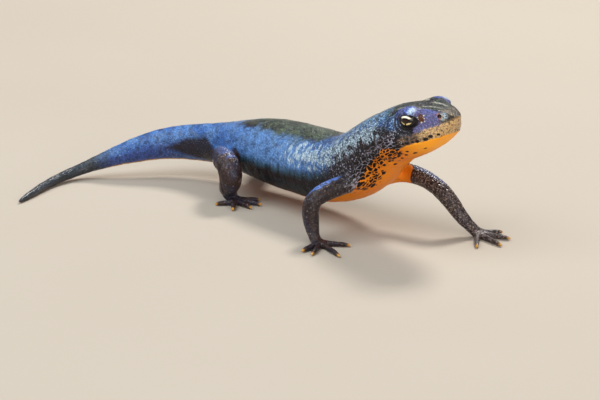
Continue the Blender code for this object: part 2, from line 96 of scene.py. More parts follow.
# Lower border of the dark skin: distance from the snout, share of the way round from back to belly
BELLY_BORDER = (
    (8.0, 0.53), (9.5, 0.55), (12.0, 0.62), (16.0, 0.72), (20.0, 0.77), (30.0, 0.82),
    (42.0, 0.81), (50.0, 0.86), (60.0, 0.90), (77.0, 0.92),
)

# Olive of the back: distance from the snout, share of the way round that it reaches
OLIVE_BORDER = (
    (13.0, -0.20), (18.0, -0.02), (22.0, 0.10), (26.0, 0.21),
    (31.0, 0.16), (36.0, 0.08), (40.0, 0.0), (46.0, -0.35),
)

# Brown streak at the root of the tail: distance from the snout, share of the way round, half width
STREAK = ((42.5, 0.60, 0.6), (44.5, 0.56, 1.9), (48.0, 0.52, 1.2), (53.0, 0.51, -0.3))

# Upper border of the lips, as height above the mouth, and the pale line over the eyes,
# as a share of the half width between the ridges, both by distance from the snout
LIP_BORDER = ((1.2, 1.25), (2.2, 1.25), (4.6, 0.95))
BROW_LINE = ((2.2, 0.34), (4.6, 0.36), (7.0, 0.80))

# Spots along the lips: how many on each side, where they begin, their spacing,
# how far they stray in height, their least radius and what chance adds to it
LIP_SPOT_COUNT = 9
LIP_SPOTS_BEGIN = 2.2
LIP_SPOT_SPACING = 0.70
LIP_SPOT_STRAYS = 0.26
LIP_SPOT_RADIUS = 0.15
LIP_SPOT_GROWTH = 0.11

# Spots on the throat: distance from the snout, reach below the side, radius, side
THROAT_SPOTS = (
    (4.6, 2.7, 0.20, -1), (6.6, 2.2, 0.22, -1), (6.2, 3.1, 0.26, -1),
    (7.3, 2.9, 0.24, -1), (7.9, 2.2, 0.24, -1), (8.3, 3.3, 0.22, -1),
    (8.9, 2.6, 0.24, -1), (9.4, 3.8, 0.22, -1), (9.6, 3.4, 0.24, 1),
    (5.4, 3.3, 0.22, 1), (6.9, 2.5, 0.24, 1), (8.0, 3.1, 0.24, 1),
    (8.6, 2.3, 0.22, 1), (10.4, 4.0, 0.24, -1), (9.9, 3.0, 0.26, -1),
)

# The orange rises at the root of the left arm, where the skin faces forward and inward:
# that direction, and the place's distance from the snout with its half length
ARM_ROOT_FACING = (0.70, -0.71, 0.0)
ARM_ROOT = (14.2, 3.2)

# The painted sheen on the upper legs, a sky reflection painted into their colour, lies where they
# face up and back, and is weaker on the left
SHEEN_FACING = (-0.33, 0.30, 0.895)
SHEEN_ON_LEFT = 0.35

# Grain of the skin: distance between granules and between the fine ones, their height,
# distance between blotches
GRANULE = 0.30
FINE_GRANULE = GRANULE * 0.62
GRANULE_HEIGHT = 0.085
BLOTCH = 0.62

# Mottling of the skin, coarse to fine: size in millimetres, detail, roughness
MOTTLING = ((2.4, 3.0, 0.6), (0.9, 3.0, 0.6), (0.35, 2.0, 0.55), (0.12, 2.0, 0.6))

# Millimetres that the stored distance from the snout and the stored turn round the body stand for
STORED_LENGTH = 80.0
STORED_TURN = 14.0

# Colours, linear
NEAR_BLACK = (0.012, 0.010, 0.014)
DARK_BROWN = (0.024, 0.015, 0.015)
RUST_BROWN = (0.052, 0.023, 0.016)
INK = (0.005, 0.008, 0.012)
DEEP_TEAL = (0.030, 0.078, 0.115)
SKY_BLUE = (0.045, 0.155, 0.48)
LIGHT_BLUE = (0.15, 0.33, 0.69)
TAIL_GREY = (0.066, 0.060, 0.036)
TAIL_BLUE = (0.045, 0.085, 0.34)
LIMB_BLUE = (0.038, 0.040, 0.075)
TURQUOISE = (0.15, 0.33, 0.52)
FROST = (0.50, 0.65, 0.76)
OLIVE = (0.080, 0.110, 0.062)
DARK_GREEN = (0.009, 0.018, 0.012)
RIDGE_PALE = (0.52, 0.50, 0.40)
BROW_BLUE = (0.035, 0.10, 0.50)
LORE_BLUE = (0.15, 0.17, 0.39)
LORE_VIOLET = (0.15, 0.12, 0.27)
STREAK_BROWN = (0.016, 0.009, 0.009)
PALE_LILAC = (0.46, 0.44, 0.54)
PALE_BROWN = (0.36, 0.27, 0.23)
LIP_BEIGE = (0.78, 0.50, 0.22)
LIP_BROWN = (0.15, 0.085, 0.048)
SNOUT_BROWN = (0.36, 0.25, 0.11)
JAW_ORANGE = (0.95, 0.37, 0.022)
ORANGE = (0.74, 0.22, 0.010)
DEEP_ORANGE = (0.70, 0.19, 0.010)
TAIL_YELLOW = (0.55, 0.23, 0.03)
TIP_ORANGE = (0.62, 0.29, 0.035)
# Painted sheen: a sky reflection painted on the upper legs
PAINTED_SHEEN_BLUE = (0.10, 0.20, 0.56)
RUST = (0.085, 0.024, 0.012)
UMBER = (0.115, 0.055, 0.040)
NOSTRIL_ORANGE = (0.36, 0.12, 0.03)
BLACK = (0.007, 0.005, 0.006)
IRIS_GOLD = (0.58, 0.40, 0.11)
IRIS_PALE = (0.86, 0.74, 0.40)
# Painted highlight: the white that the top of the iris ring is blended towards
IRIS_HIGHLIGHT_WHITE = (0.95, 0.91, 0.78)
IRIS_DARK = (0.006, 0.004, 0.004)
PUPIL = (0.022, 0.003, 0.002)
FLOOR_PALE = (0.415, 0.362, 0.297)
FLOOR_WARM = (0.380, 0.322, 0.258)

# Iris: its middle ahead of and above the middle of the ball,
# and the half length and half height of its gold ring and of its pupil
IRIS_AHEAD = -0.17
IRIS_ABOVE = 0.12
IRIS_RING = (0.70, 0.45)
PUPIL_OVAL = (0.34, 0.24)

# Cornea: how far it stands out, and the angles from the eye's axis at which it ends and is full
CORNEA_HEIGHT = 0.10
CORNEA_ENDS = 52
CORNEA_FULL = 20

# Camera: place in the body layout, turn in degrees, lens
CAMERA_PLACE = (229.9, -211.9, 107.9)
CAMERA_TURN = (72.0, 0.0, 47.6)
CAMERA_LENS = 162.4

# Lights: place as right, away and up as the camera sees it, in metres, size, power and colour;
# then the background's colour and strength, and the place that the lights face
LIGHTS = (
    ("key", (0.12, 0.26, 0.34), 0.10, 1.7, (1.0, 0.97, 0.92)),
    ("sky", (-0.22, -0.08, 0.42), 0.45, 2.8, (0.86, 0.93, 1.0)),
    ("fill", (0.20, -0.40, 0.14), 0.35, 1.5, (1.0, 0.96, 0.90)),
)
WORLD_COLOUR = (0.93, 0.96, 1.0)
WORLD_STRENGTH = 0.26
LIGHTS_AIM = (0, 0, 0.008)

# Points round the body, an even number, with the first on the back
COLUMNS = 24
HALF = COLUMNS // 2

# Distance ahead and behind that gives the direction of the body at a place
HEADING_STEP = 0.4

# Middle line of the body from snout to tail tip: x, y, z, half width, reach up, reach down
SPINE = (
    (12.90, 12.90, 16.20, 0.90, 1.30, 0.50),
    (8.25, 12.20, 14.49, 4.30, 3.08, 2.40),
    (5.00, 11.71, 13.29, 4.60, 3.60, 3.05),
    (3.30, 11.45, 12.60, 4.30, 3.75, 3.35),
    (1.20, 11.20, 11.60, 4.10, 3.72, 3.95),
    (-1.76, 11.05, 9.36, 4.45, 3.78, 4.45),
    (-4.45, 11.00, 7.66, 4.70, 3.90, 4.65),
    (-6.84, 11.00, 6.77, 4.80, 4.10, 4.70),
    (-10.30, 11.00, 6.40, 4.90, 4.30, 4.60),
    (-14.50, 11.00, 6.20, 4.95, 4.35, 4.35),
    (-18.80, 10.97, 6.05, 4.75, 4.25, 4.15),
    (-22.50, 10.85, 5.75, 4.20, 3.75, 3.60),
    (-26.00, 10.50, 5.40, 3.40, 3.10, 2.95),
    (-29.00, 9.85, 5.05, 2.55, 2.70, 2.60),
    (-32.00, 8.70, 4.75, 2.10, 2.50, 2.45),
    (-34.80, 6.70, 4.45, 1.75, 2.25, 2.15),
    (-36.90, 3.90, 3.90, 1.45, 1.90, 1.80),
    (-38.90, 1.00, 2.95, 1.15, 1.38, 1.35),
    (-40.80, -1.30, 1.88, 0.90, 0.93, 0.90),
    (-41.85, -3.80, 1.15, 0.72, 0.70, 0.80),
    (-41.90, -6.50, 0.85, 0.62, 0.60, 0.70),
    (-41.10, -9.30, 0.65, 0.55, 0.54, 0.66),
    (-39.50, -13.10, 0.48, 0.45, 0.47, 0.54),
    (-38.30, -16.10, 0.32, 0.18, 0.20, 0.34),
)

# Roundness of the body's sections by distance from the snout: 2 is an ellipse
ROUNDNESS = ((30, 44, 52, 77), (2.2, 2.0, 1.75, 1.9))

# Head sections: distance from the snout, crown height, ridge (canthus) half width and height,
# cheek half width and height, under-eye half width and height, lip half width,
# mouth height, throat height
HEAD = (
    (0.50, 1.12, 0.72, 1.04, 0.98, 0.60, 1.02, 0.12, 0.98, -0.36, -0.68),
    (0.90, 1.57, 1.06, 1.49, 1.42, 0.88, 1.52, 0.20, 1.50, -0.52, -0.88),
    (1.42, 1.98, 1.38, 1.91, 1.86, 1.12, 1.98, 0.24, 2.00, -0.63, -1.06),
    (2.10, 2.43, 1.72, 2.37, 2.34, 1.24, 2.50, 0.22, 2.52, -0.67, -1.26),
    (2.90, 2.78, 2.12, 2.76, 2.82, 1.45, 3.02, 0.30, 3.08, -0.63, -1.52),
    (3.85, 3.02, 2.66, 3.20, 3.34, 2.00, 3.58, 0.72, 3.74, -0.60, -1.92),
    (5.30, 3.40, 3.06, 4.12, 3.88, 2.05, 4.16, 0.42, 4.28, -0.66, -2.42),
    (6.75, 3.72, 3.04, 3.56, 3.98, 1.95, 4.40, 0.65, 4.54, -0.74, -2.72),
    (7.70, 3.88, 3.00, 3.46, 4.10, 1.90, 4.58, 0.60, 4.66, -0.88, -2.86),
    (8.60, 3.98, 2.75, 3.28, 4.10, 1.80, 4.60, 0.40, 4.62, -1.00, -2.98),
    (12.00, 3.95, 2.40, 3.00, 3.80, 1.50, 4.15, 0.20, 4.10, -1.20, -3.60),
)
HEAD_TO_NECK = (8.6, 11.4)
MOUTH_CORNER = 7.6
LIP_HALF_GAP = 0.15
MOUTH_DEPTH = 0.30

# The mouth and chin lie behind the snout tip: by how much, how far along the head it fades,
# and the share of it that each point from back to belly gets
SET_BACK = 1.05
SET_BACK_FADES = 3.7
SET_BACK_SHARES = ((2.8, 6, 8.5, 12), (0, 1.0, 1.35, 1.25))

# How far each point of the snout's front, from back to belly, lies ahead of the first ring
SNOUT_FRONT = (0, 0.08, 0.14, 0.22, 0.32, 0.34, 0.30, 0.02, 0.12, 0.08, 0.04, 0.02, 0)
SNOUT_FRONT_HEIGHT = 0.985

# Throat fold: distance from the snout, length, half width of the head there,
# how far it sweeps back at the sides, depth
GULAR_AT = 9.15
GULAR_LENGTH = 4.0
GULAR_HALF_WIDTH = 4.4
GULAR_SWEEP = 2.4
GULAR_DEPTH = 0.28

# Rings along the body; the named ones carry the eyes, nostrils and legs
RINGS = (
    0.5, 0.9, 1.42, 2.1, 2.9, 3.85, 5.3, 6.75, 7.7, 8.6, 9.15, 9.7, 11.2, 12.8, 14.4,
    15.9, 17.2, 18.5, 20.6, 23.2, 26.2, 29.2, 32.2, 35.2, 37.8, 38.9, 40.0, 41.1,
    43.0, 45.6, 48.4, 51.4, 54.4, 57.4, 60.2, 62.8, 65.4, 68.4, 71.4, 74.4, 76.3,
)
NOSTRIL_RING = RINGS.index(1.42)
EYE_RING = RINGS.index(3.85)
FORE_RING = RINGS.index(15.9)
HIND_RING = RINGS.index(37.8)
ORBIT_COLUMN = 3
FORE_COLUMNS = (7, 10)
HIND_COLUMNS = (6, 9)

# Nostrils: share of the face that each step of the pit keeps, and the depth of the step
NOSTRIL_STEPS = ((0.52, 0.0), (0.30, 0.10), (0.24, 0.38))

# Eyes: place in the head as distance back, sideways and height, direction as sideways,
# forward and up, ball radius
EYE_BACK = 5.28
EYE_SIDE = 3.10
EYE_HEIGHT = 2.20
EYE_OUT = (0.95, 0.22, -0.13)
EYE_RADIUS = 1.20

# Ovals round an eye, from the brow over the lid's edge to the hollow: half length, half height,
# reach outward, and how much further the upper side reaches
EYE_OVALS = (
    (1.56, 1.42, 0.78, 0.08),
    (1.19, 0.89, 1.18, 0.03),
    (1.12, 0.82, 0.45, 0.0),
)

# Legs: side, direction of the root, points from root to palm (x, y, z, radius), foot middle,
# heading in degrees, tips of the digits; dark_from is the share of the leg
# over which its dark skin sets in
LEGS = {
    "fore_right": dict(
        side=-1, root=(0.10, -0.90, -0.42),
        points=(
            (-1.15, 6.65, 6.70, 1.30), (-1.75, 4.30, 6.20, 1.18), (-2.05, 2.45, 5.60, 1.18),
            (-2.15, 1.75, 4.75, 1.18), (-2.05, 1.65, 3.30, 1.10), (-1.75, 1.60, 1.85, 0.92),
        ),
        palm=(-0.55, 1.15, 0.40), heading=-8,
        tips=((2.70, 4.00), (4.85, 0.15), (2.00, -1.90), (0.25, -1.95)),
    ),
    "fore_left": dict(
        side=1, root=(0.45, 0.82, -0.35), dark_from=(0.08, 0.24),
        points=(
            (-0.10, 15.25, 6.70, 1.30), (2.80, 15.75, 6.75, 1.12), (5.40, 15.95, 6.00, 1.08),
            (6.75, 16.20, 5.10, 1.08), (7.80, 16.75, 3.70, 0.98), (8.75, 17.35, 2.10, 0.85),
        ),
        palm=(10.15, 18.30, 0.40), heading=10,
        tips=((13.60, 14.85), (15.30, 17.55), (14.20, 20.30), (11.70, 21.50)),
    ),
    "hind_right": dict(
        side=-1, root=(0.0, -1.0, -0.10),
        points=(
            (-23.80, 6.05, 5.20, 1.72), (-21.90, 4.75, 5.50, 1.60), (-20.30, 4.10, 5.50, 1.55),
            (-19.10, 3.60, 4.10, 1.52), (-19.75, 4.00, 2.85, 1.42), (-20.85, 4.45, 1.75, 1.25),
        ),
        palm=(-20.30, 4.90, 0.40), heading=-5,
        tips=((-18.30, 7.90), (-16.60, 6.60), (-16.40, 4.70), (-17.50, 2.40), (-20.90, 2.30)),
    ),
    "hind_left": dict(
        side=1, root=(-0.15, 1.0, -0.10),
        points=(
            (-25.00, 15.05, 5.10, 1.75), (-26.20, 16.75, 5.25, 1.55), (-27.40, 18.10, 4.95, 1.45),
            (-28.50, 18.75, 4.20, 1.35), (-29.70, 19.15, 3.00, 1.20), (-30.80, 19.50, 1.75, 1.00),
        ),
        palm=(-31.40, 20.30, 0.40), heading=105,
        tips=((-28.10, 22.20), (-29.60, 23.90), (-31.90, 24.30), (-34.20, 23.20), (-35.00, 20.90)),
    ),
}

# Weights of up, outward and heading in the direction that each leg ring calls dorsal
DORSAL = (
    (1.0, 0.0, 0.0), (1.0, 0.0, 0.0), (0.8, 0.4, 0.1),
    (0.35, 0.6, 0.5), (0.0, 0.45, 0.9), (0.25, 0.1, 1.0),
)

# The palm's two rings: reach from its middle, half thickness, spread in degrees to each side
PALM_RINGS = ((0.55, 0.52, 78), (1.25, 0.46, 68))

# Digits: share of the length at each ring, radius there, height of the tip, of the ends of the
# arch and of its crown above them, and what the smoothing of the cage leaves of a radius
DIGIT_ALONG = (0.22, 0.52, 0.80, 1.0)
DIGIT_RADII = (0.36, 0.31, 0.25, 0.14)
DIGIT_TIP_HEIGHT = 0.26
DIGIT_HEIGHT = 0.24
DIGIT_ARCH = 0.14
DIGIT_SHRINK = 0.93

# The tip of the tail: how far it lies behind the last ring, and its least height
TAIL_TIP_LENGTH = 0.8
TAIL_TIP_HEIGHT = 0.2

# Points of the cage that are nearer than this are one point
MERGE_DISTANCE = 1e-5


def smooth_through(rows):
    """A smooth function through rows that each hold a position and its values."""
    rows = np.array(rows, float)
    x, y = rows[:, 0], rows[:, 1:]
    slope = np.gradient(y, x, axis=0)

    def at(s):
        i = int(np.clip(np.searchsorted(x, s) - 1, 0, len(x) - 2))
        w = x[i + 1] - x[i]
        t = (s - x[i]) / w
        return (
            (1 + 2 * t) * (1 - t) ** 2 * y[i]
            + t * (1 - t) ** 2 * w * slope[i]
            + t * t * (3 - 2 * t) * y[i + 1]
            + t * t * (t - 1) * w * slope[i + 1]
        )

    return at


def spine_rows():
    """The rows of SPINE, each with its distance along the body in front."""
    places = np.array([row[:3] for row in SPINE])
    steps = np.linalg.norm(np.diff(places, axis=0), axis=1)
    lengths = np.concatenate([[0], np.cumsum(steps)])
    return [(s, *row) for s, row in zip(lengths, SPINE)]


spine = smooth_through(spine_rows())
head = smooth_through(HEAD)


def frame_at(s):
    """Middle, forward, left and up of the body at a distance from the snout."""
    middle = Vector(spine(s)[:3])
    ahead, behind = max(s - HEADING_STEP, 0), s + HEADING_STEP
    forward = (Vector(spine(ahead)[:3]) - Vector(spine(behind)[:3])).normalized()
    left = Vector((-forward.y, forward.x, 0)).normalized()
    return middle, forward, left, forward.cross(left)


def round_section(s):
    """Half of a body section, back to belly, as pairs of side reach and height."""
    wide, up, down = spine(s)[3:]
    power = 2 / np.interp(s, *ROUNDNESS)
    points = []
    for k in range(HALF + 1):
        turn = math.pi * k / HALF
        side = wide * abs(math.sin(turn)) ** power
        high = abs(math.cos(turn)) ** power * (up if k <= HALF / 2 else -down)
        points.append((side, high))
    return points


def head_section(s):
    """Half of a head section, crown to throat, with the mouth as a groove between the lips."""
    crown, ridge, ridge_high, cheek, cheek_high, under, under_high, lip, mouth, throat = head(s)
    open_mouth = np.interp(s, (0, MOUTH_CORNER - 0.6, MOUTH_CORNER + 0.6), (1, 1, 0))
    apart = LIP_HALF_GAP * (2 - open_mouth)
    deep = mouth - throat
    return [
        (0, crown),
        (0.36 * ridge, crown),
        (0.72 * ridge, 0.55 * crown + 0.45 * ridge_high),
        (ridge, ridge_high),
        (cheek, cheek_high),
        (under, under_high),
        (lip, mouth + apart),
        (lip - MOUTH_DEPTH * open_mouth, mouth),
        (lip - 0.08, mouth - apart),
        (0.91 * lip, mouth - apart - 0.25 * (deep - apart)),
        (0.71 * lip, mouth - apart - 0.64 * (deep - apart)),
        (0.40 * lip, mouth - apart - 0.92 * (deep - apart)),
        (0, throat),
    ]


def section(s):
    """Half of the section at any place, with the head passing over into the neck."""
    blend = np.interp(s, HEAD_TO_NECK, (0, 1))
    if blend == 0:
        return head_section(s)
    body = round_section(s)
    if blend == 1:
        return body
    return [
        ((1 - blend) * a + blend * c, (1 - blend) * b + blend * d)
        for (a, b), (c, d) in zip(head_section(s), body)
    ]


def set_back(s, k):
    """How far a point of a head ring lies behind the others, from the lip down."""
    return SET_BACK * max(0.0, 1 - s / SET_BACK_FADES) * np.interp(k, *SET_BACK_SHARES)


def ring_points(s):
    """A whole ring: down the right side from the back, then up the left."""
    middle, forward, left, up = frame_at(s)
    half = section(s)
    near_fold = max(0, 1 - abs(s - GULAR_AT) / GULAR_LENGTH)
    in_fold = GULAR_DEPTH if abs(s - GULAR_AT) < 0.01 else 0
    points = []
    for j in range(COLUMNS):
        k = j if j <= HALF else COLUMNS - j
        side, high = half[k]
        low = np.interp(k, (6, 8), (0, 1))
        sweep = GULAR_SWEEP * near_fold * low * (side / GULAR_HALF_WIDTH) ** 2 + set_back(s, k)
        shrink = 1 - in_fold * low / math.hypot(side, high)
        sign = -1 if j <= HALF else 1
        across = left * (sign * side * shrink) + up * (high * shrink)
        points.append(middle + across - forward * sweep)
    return points


def extrude_loop(bm, loop, places):
    """Extrudes a closed loop of vertices and puts the new one at the given places."""
    edges = [bm.edges.get((a, b)) for a, b in zip(loop, loop[1:] + loop[:1])]
    made = bmesh.ops.extrude_edge_only(bm, edges=edges)["geom"]
    fresh = {item for item in made if isinstance(item, bmesh.types.BMVert)}
    new = []
    for vert, place in zip(loop, places):
        (twin,) = [e.other_vert(vert) for e in vert.link_edges if e.other_vert(vert) in fresh]
        twin.co = place
        new.append(twin)
    return new


def extrude_face(bm, face, places):
    """Extrudes one face and puts its corners at the given places, in the same order."""
    made = bmesh.ops.extrude_discrete_faces(bm, faces=[face])["faces"][0]
    for vert, place in zip(made.verts, places):
        vert.co = place
    return made


def eye_frame(side):
    """Centre of an eye with its outward, forward and upward directions."""
    middle, forward, left, up = frame_at(EYE_BACK)
    centre = middle + left * (side * EYE_SIDE) + up * EYE_HEIGHT
    sideways, onward, upward = EYE_OUT
    out = (left * side * sideways + forward * onward + up * upward).normalized()
    ahead = (forward - out * forward.dot(out)).normalized()
    return centre, out, ahead, out.cross(ahead) * (1 if side < 0 else -1)


def column(side, k):
    """The number of a ring's point on this side, counted from the back."""
    return k % COLUMNS if side < 0 else (COLUMNS - k) % COLUMNS


def add_eye(bm, rings, side):
    """Turns a block of four faces into the raised rim, lids and hollow of one eye."""
    centre, out, ahead, above = eye_frame(side)
    top, mid, low = (column(side, ORBIT_COLUMN + d) for d in range(3))
    front, mid_ring, back = rings[EYE_RING : EYE_RING + 3]
    loop = [front[top], mid_ring[top], back[top], back[mid]]
    loop += [back[low], mid_ring[low], front[low], front[mid]]
    bmesh.ops.delete(bm, geom=[mid_ring[mid]], context="VERTS")
    offsets = [v.co - centre for v in loop]
    turns = [math.atan2(offset.dot(above), offset.dot(ahead)) for offset in offsets]
    for length, height, reach, lean in EYE_OVALS:
        places = []
        for t in turns:
            outward = centre + out * (reach + lean * math.sin(t))
            places.append(outward + ahead * (length * math.cos(t)) + above * (height * math.sin(t)))
        loop = extrude_loop(bm, loop, places)
    bm.faces.new(loop)


def add_nostril(bm, rings, side):
    """Sinks a small pit in the face between the canthus and the cheek."""
    a, b = rings[NOSTRIL_RING], rings[NOSTRIL_RING + 1]
    k = [column(side, ORBIT_COLUMN), column(side, ORBIT_COLUMN + 1)]
    corners = [a[k[0]], a[k[1]], b[k[1]], b[k[0]]]
    (face,) = [f for f in a[k[0]].link_faces if all(v in f.verts for v in corners)]
    centre, normal = face.calc_center_median(), face.normal.copy()
    for share, depth in NOSTRIL_STEPS:
        places = [centre + (v.co - centre) * share - normal * depth for v in corners]
        if face.verts[0] in corners:
            order = [corners.index(v) for v in face.verts]
        face = extrude_face(bm, face, [places[i] for i in order])


def leg_ring(middle, along, dorsal, radius, count):
    """Points round a leg, half of them on its dorsal side."""
    dorsal = (dorsal - along * dorsal.dot(along)).normalized()
    side = along.cross(dorsal)
    shrink = 2 / 3 + math.cos(2 * math.pi / count) / 3
    points = []
    for j in range(count):
        angle = 2 * math.pi * (j + 0.5) / count
        outward = side * math.cos(angle) + dorsal * math.sin(angle)
        points.append(middle + outward * (radius / shrink))
    return points


def palm_ring(leg, count, reach, high, spread):
    """Points round the palm: an arc over its back and the same arc under its sole."""
    middle = Vector(leg["palm"])
    heading = math.radians(leg["heading"])
    half = count // 2
    arc = []
    for j in range(half):
        turn = heading - math.radians(spread) * (1 - 2 * j / (half - 1))
        arc.append(middle + Vector((math.cos(turn), math.sin(turn), 0)) * reach)
    top = [p + Vector((0, 0, high)) for p in arc]
    sole = [p - Vector((0, 0, high)) for p in reversed(arc)]
    return top + sole


def add_leg(bm, rings, leg, first_ring, columns, length):
    """Grows a leg from a block of the body's faces and digits from the end of its palm."""
    side = leg["side"]
    ks = [column(side, k) for k in range(columns[0], columns[1] + 1)]
    block = rings[first_ring : first_ring + length + 1]
    loop = [block[0][k] for k in ks] + [row[ks[-1]] for row in block[1:-1]]
    loop += [block[-1][k] for k in reversed(ks)] + [row[ks[0]] for row in reversed(block[1:-1])]
    held = {row[k] for row in block for k in ks}
    faces = [f for f in bm.faces if all(v in held for v in f.verts)]
    bmesh.ops.delete(bm, geom=faces, context="FACES")
    count = len(loop)

    points = [Vector(p[:3]) for p in leg["points"]]
    radii = [p[3] for p in leg["points"]]
    palm = Vector(leg["palm"])
    angle = math.radians(leg["heading"])
    heading = Vector((math.cos(angle), math.sin(angle), 0))
    outward = points[2] - points[0]
    outward.z = 0
    outward.normalize()
    hub = sum((v.co for v in loop), Vector()) / count
    path = [hub] + points + [palm]

    sets = []
    for i, (point, radius) in enumerate(zip(points, radii)):
        along = (path[i + 2] - path[i]).normalized() if i else Vector(leg["root"]).normalized()
        up, out, ahead = DORSAL[i]
        dorsal = Vector((0, 0, up)) + outward * out + heading * ahead
        sets.append(leg_ring(point, along, dorsal, radius, count))

    def twist(ring):
        return sum((v.co - p).length_squared for v, p in zip(ring, sets[0]))

    orders = [order[k:] + order[:k] for order in (loop, loop[::-1]) for k in range(count)]
    ring = min(orders, key=twist)
    sets += [palm_ring(leg, count, *sizes) for sizes in PALM_RINGS]
    for places in sets:
        ring = extrude_loop(bm, ring, places)

    def turn(tip):
        lean = math.atan2(tip[1] - palm.y, tip[0] - palm.x) - angle
        return math.atan2(math.sin(lean), math.cos(lean))

    for q, tip in enumerate(sorted(leg["tips"], key=turn)):
        corners = [ring[q], ring[q + 1], ring[count - 2 - q], ring[count - 1 - q]]
        base = sum((v.co for v in corners), Vector()) / 4
        across = (corners[0].co - corners[1].co).normalized()
        add_digit(bm, bm.faces.new(corners), base, Vector((*tip, DIGIT_TIP_HEIGHT)), across)


def add_digit(bm, face, base, tip, across):
    """Draws a face of the palm out into a slightly arched digit."""
    run = tip - base
    flat = Vector((run.x, run.y, 0)).normalized()
    final = Vector((flat.y, -flat.x, 0))
    for t, radius in zip(DIGIT_ALONG, DIGIT_RADII):
        middle = base + run * t
        middle.z = DIGIT_HEIGHT + DIGIT_ARCH * math.sin(math.pi * t)
        side = (across * (1 - min(1, t * 2)) + final * min(1, t * 2)).normalized()
        wide = side * (radius / DIGIT_SHRINK)
        high = Vector((0, 0, radius / DIGIT_SHRINK))
        corners = ((1, 1), (-1, 1), (-1, -1), (1, -1))
        face = extrude_face(bm, face, [middle + wide * a + high * b for a, b in corners])


def build_cage():
    """The whole animal as one closed surface of quads."""
    bm = bmesh.new()
    ring = list(bmesh.ops.create_circle(bm, segments=COLUMNS, radius=1.0)["verts"])
    for vert, place in zip(ring, ring_points(RINGS[0])):
        vert.co = place
    rings = [ring]
    for s in RINGS[1:]:
        ring = extrude_loop(bm, ring, ring_points(s))
        rings.append(ring)

    # The front of the snout: the first ring drawn in to the middle line and merged left to right
    middle, forward, _, up = frame_at(RINGS[0])
    half = head_section(RINGS[0])
    places = []
    for j in range(COLUMNS):
        k = j if j <= HALF else COLUMNS - j
        ahead = SNOUT_FRONT[k] - set_back(RINGS[0], k)
        places.append(middle + up * (half[k][1] * SNOUT_FRONT_HEIGHT) + forward * ahead)
    front = extrude_loop(bm, rings[0], places)
    bmesh.ops.remove_doubles(bm, verts=front, dist=MERGE_DISTANCE)
    ends = [v for v in bm.verts if len(v.link_edges) == 2]
    bmesh.ops.dissolve_verts(bm, verts=ends)

    # The tip of the tail
    tip = sum((v.co for v in rings[-1]), Vector()) / COLUMNS
    tip -= frame_at(RINGS[-1])[1] * TAIL_TIP_LENGTH
    tip.z = max(tip.z, TAIL_TIP_HEIGHT)
    last = extrude_loop(bm, rings[-1], [tip] * COLUMNS)
    bmesh.ops.remove_doubles(bm, verts=last, dist=MERGE_DISTANCE)

    bmesh.ops.recalc_face_normals(bm, faces=bm.faces)
    for add in (add_nostril, add_eye):
        for side in (-1, 1):
            add(bm, rings, side)
    for name, leg in LEGS.items():
        fore = name.startswith("fore")
        add_leg(
            bm, rings, leg,
            FORE_RING if fore else HIND_RING,
            FORE_COLUMNS if fore else HIND_COLUMNS,
            2 if fore else 3,
        )
    loose = [v for v in bm.verts if not v.link_faces]
    bmesh.ops.delete(bm, geom=loose, context="VERTS")
    bmesh.ops.recalc_face_normals(bm, faces=bm.faces)
    return bm


def deselect_all():
    for obj in bpy.context.view_layer.objects:
        obj.select_set(False)


def apply_modifiers(obj):
    """Applies all modifiers of one object, in their order."""
    deselect_all()
    bpy.context.view_layer.objects.active = obj
    obj.select_set(True)
    for modifier in list(obj.modifiers):
        bpy.ops.object.modifier_apply(modifier=modifier.name)
    obj.select_set(False)


def rise(x, low, high):
    """0 up to the low value, rising smoothly to 1 at the high one."""
    t = np.clip((x - low) / (high - low), 0, 1)
    return t * t * (3 - 2 * t)


def fall(x, low, high):
    """1 up to the low value, falling smoothly to 0 at the high one."""
    return 1 - rise(x, low, high)


def bell(x, middle, half):
    """1 in the middle, falling smoothly to 0 at half on both sides."""
    return fall(np.abs(x - middle), 0, half)


def waves(x, spacing):
    """Waves from 0 to 1 at this spacing."""
    return 0.5 + 0.5 * np.cos(2 * math.pi * x / spacing)


def zone(name, along):
    """1 where a feature of the skin is full along the body, and 0 outside its zone."""
    begins, full, fades, ends = ZONES[name]
    return rise(along, begins, full) * fall(along, fades, ends)


def through(x, rows):
    """Straight lines through rows of a place and its values: one result for each value."""
    at, *columns = zip(*rows)
    found = [np.interp(x, at, column) for column in columns]
    return found if len(found) > 1 else found[0]


def grain(points, size, seed=0.0):
    """Smooth random values from -1 to 1 whose features are about this size."""
    at = points / size + seed
    return np.array([noise.noise(Vector(p)) for p in at.tolist()])


# Closely spaced places along the body, with its frame, head section and size at each,
# and the column of each measure that is read from a head section
LINE = np.arange(0.0, 77.6, 0.25)
LINE_FRAMES = [frame_at(s) for s in LINE]
LINE_HEAD = np.array([head(min(s, HEAD[-1][0])) for s in LINE])
LINE_PLACES = np.array([f[0] for f in LINE_FRAMES])
LINE_SIZE = np.array([spine(s)[3:] for s in LINE])
CROWN, CANTHUS, CANTHUS_HEIGHT, LIP, MOUTH, THROAT = 0, 1, 2, 7, 8, 9

# How many points are compared with the places along the body at a time
POINTS_AT_A_TIME = 20000


def body_places(points):
    """Distance from the snout, reach to the left, reach up and number of the nearest frame."""
    nearest = np.empty(len(points), int)
    for start in range(0, len(points), POINTS_AT_A_TIME):
        block = points[start : start + POINTS_AT_A_TIME]
        gap = ((block[:, None, :] - LINE_PLACES[None]) ** 2).sum(axis=2)
        nearest[start : start + len(block)] = gap.argmin(axis=1)
    offset = points - LINE_PLACES[nearest]
    forward, left, up = (np.array([f[k] for f in LINE_FRAMES])[nearest] for k in (1, 2, 3))
    along = LINE[nearest] - (offset * forward).sum(axis=1)
    return along, (offset * left).sum(axis=1), (offset * up).sum(axis=1), nearest


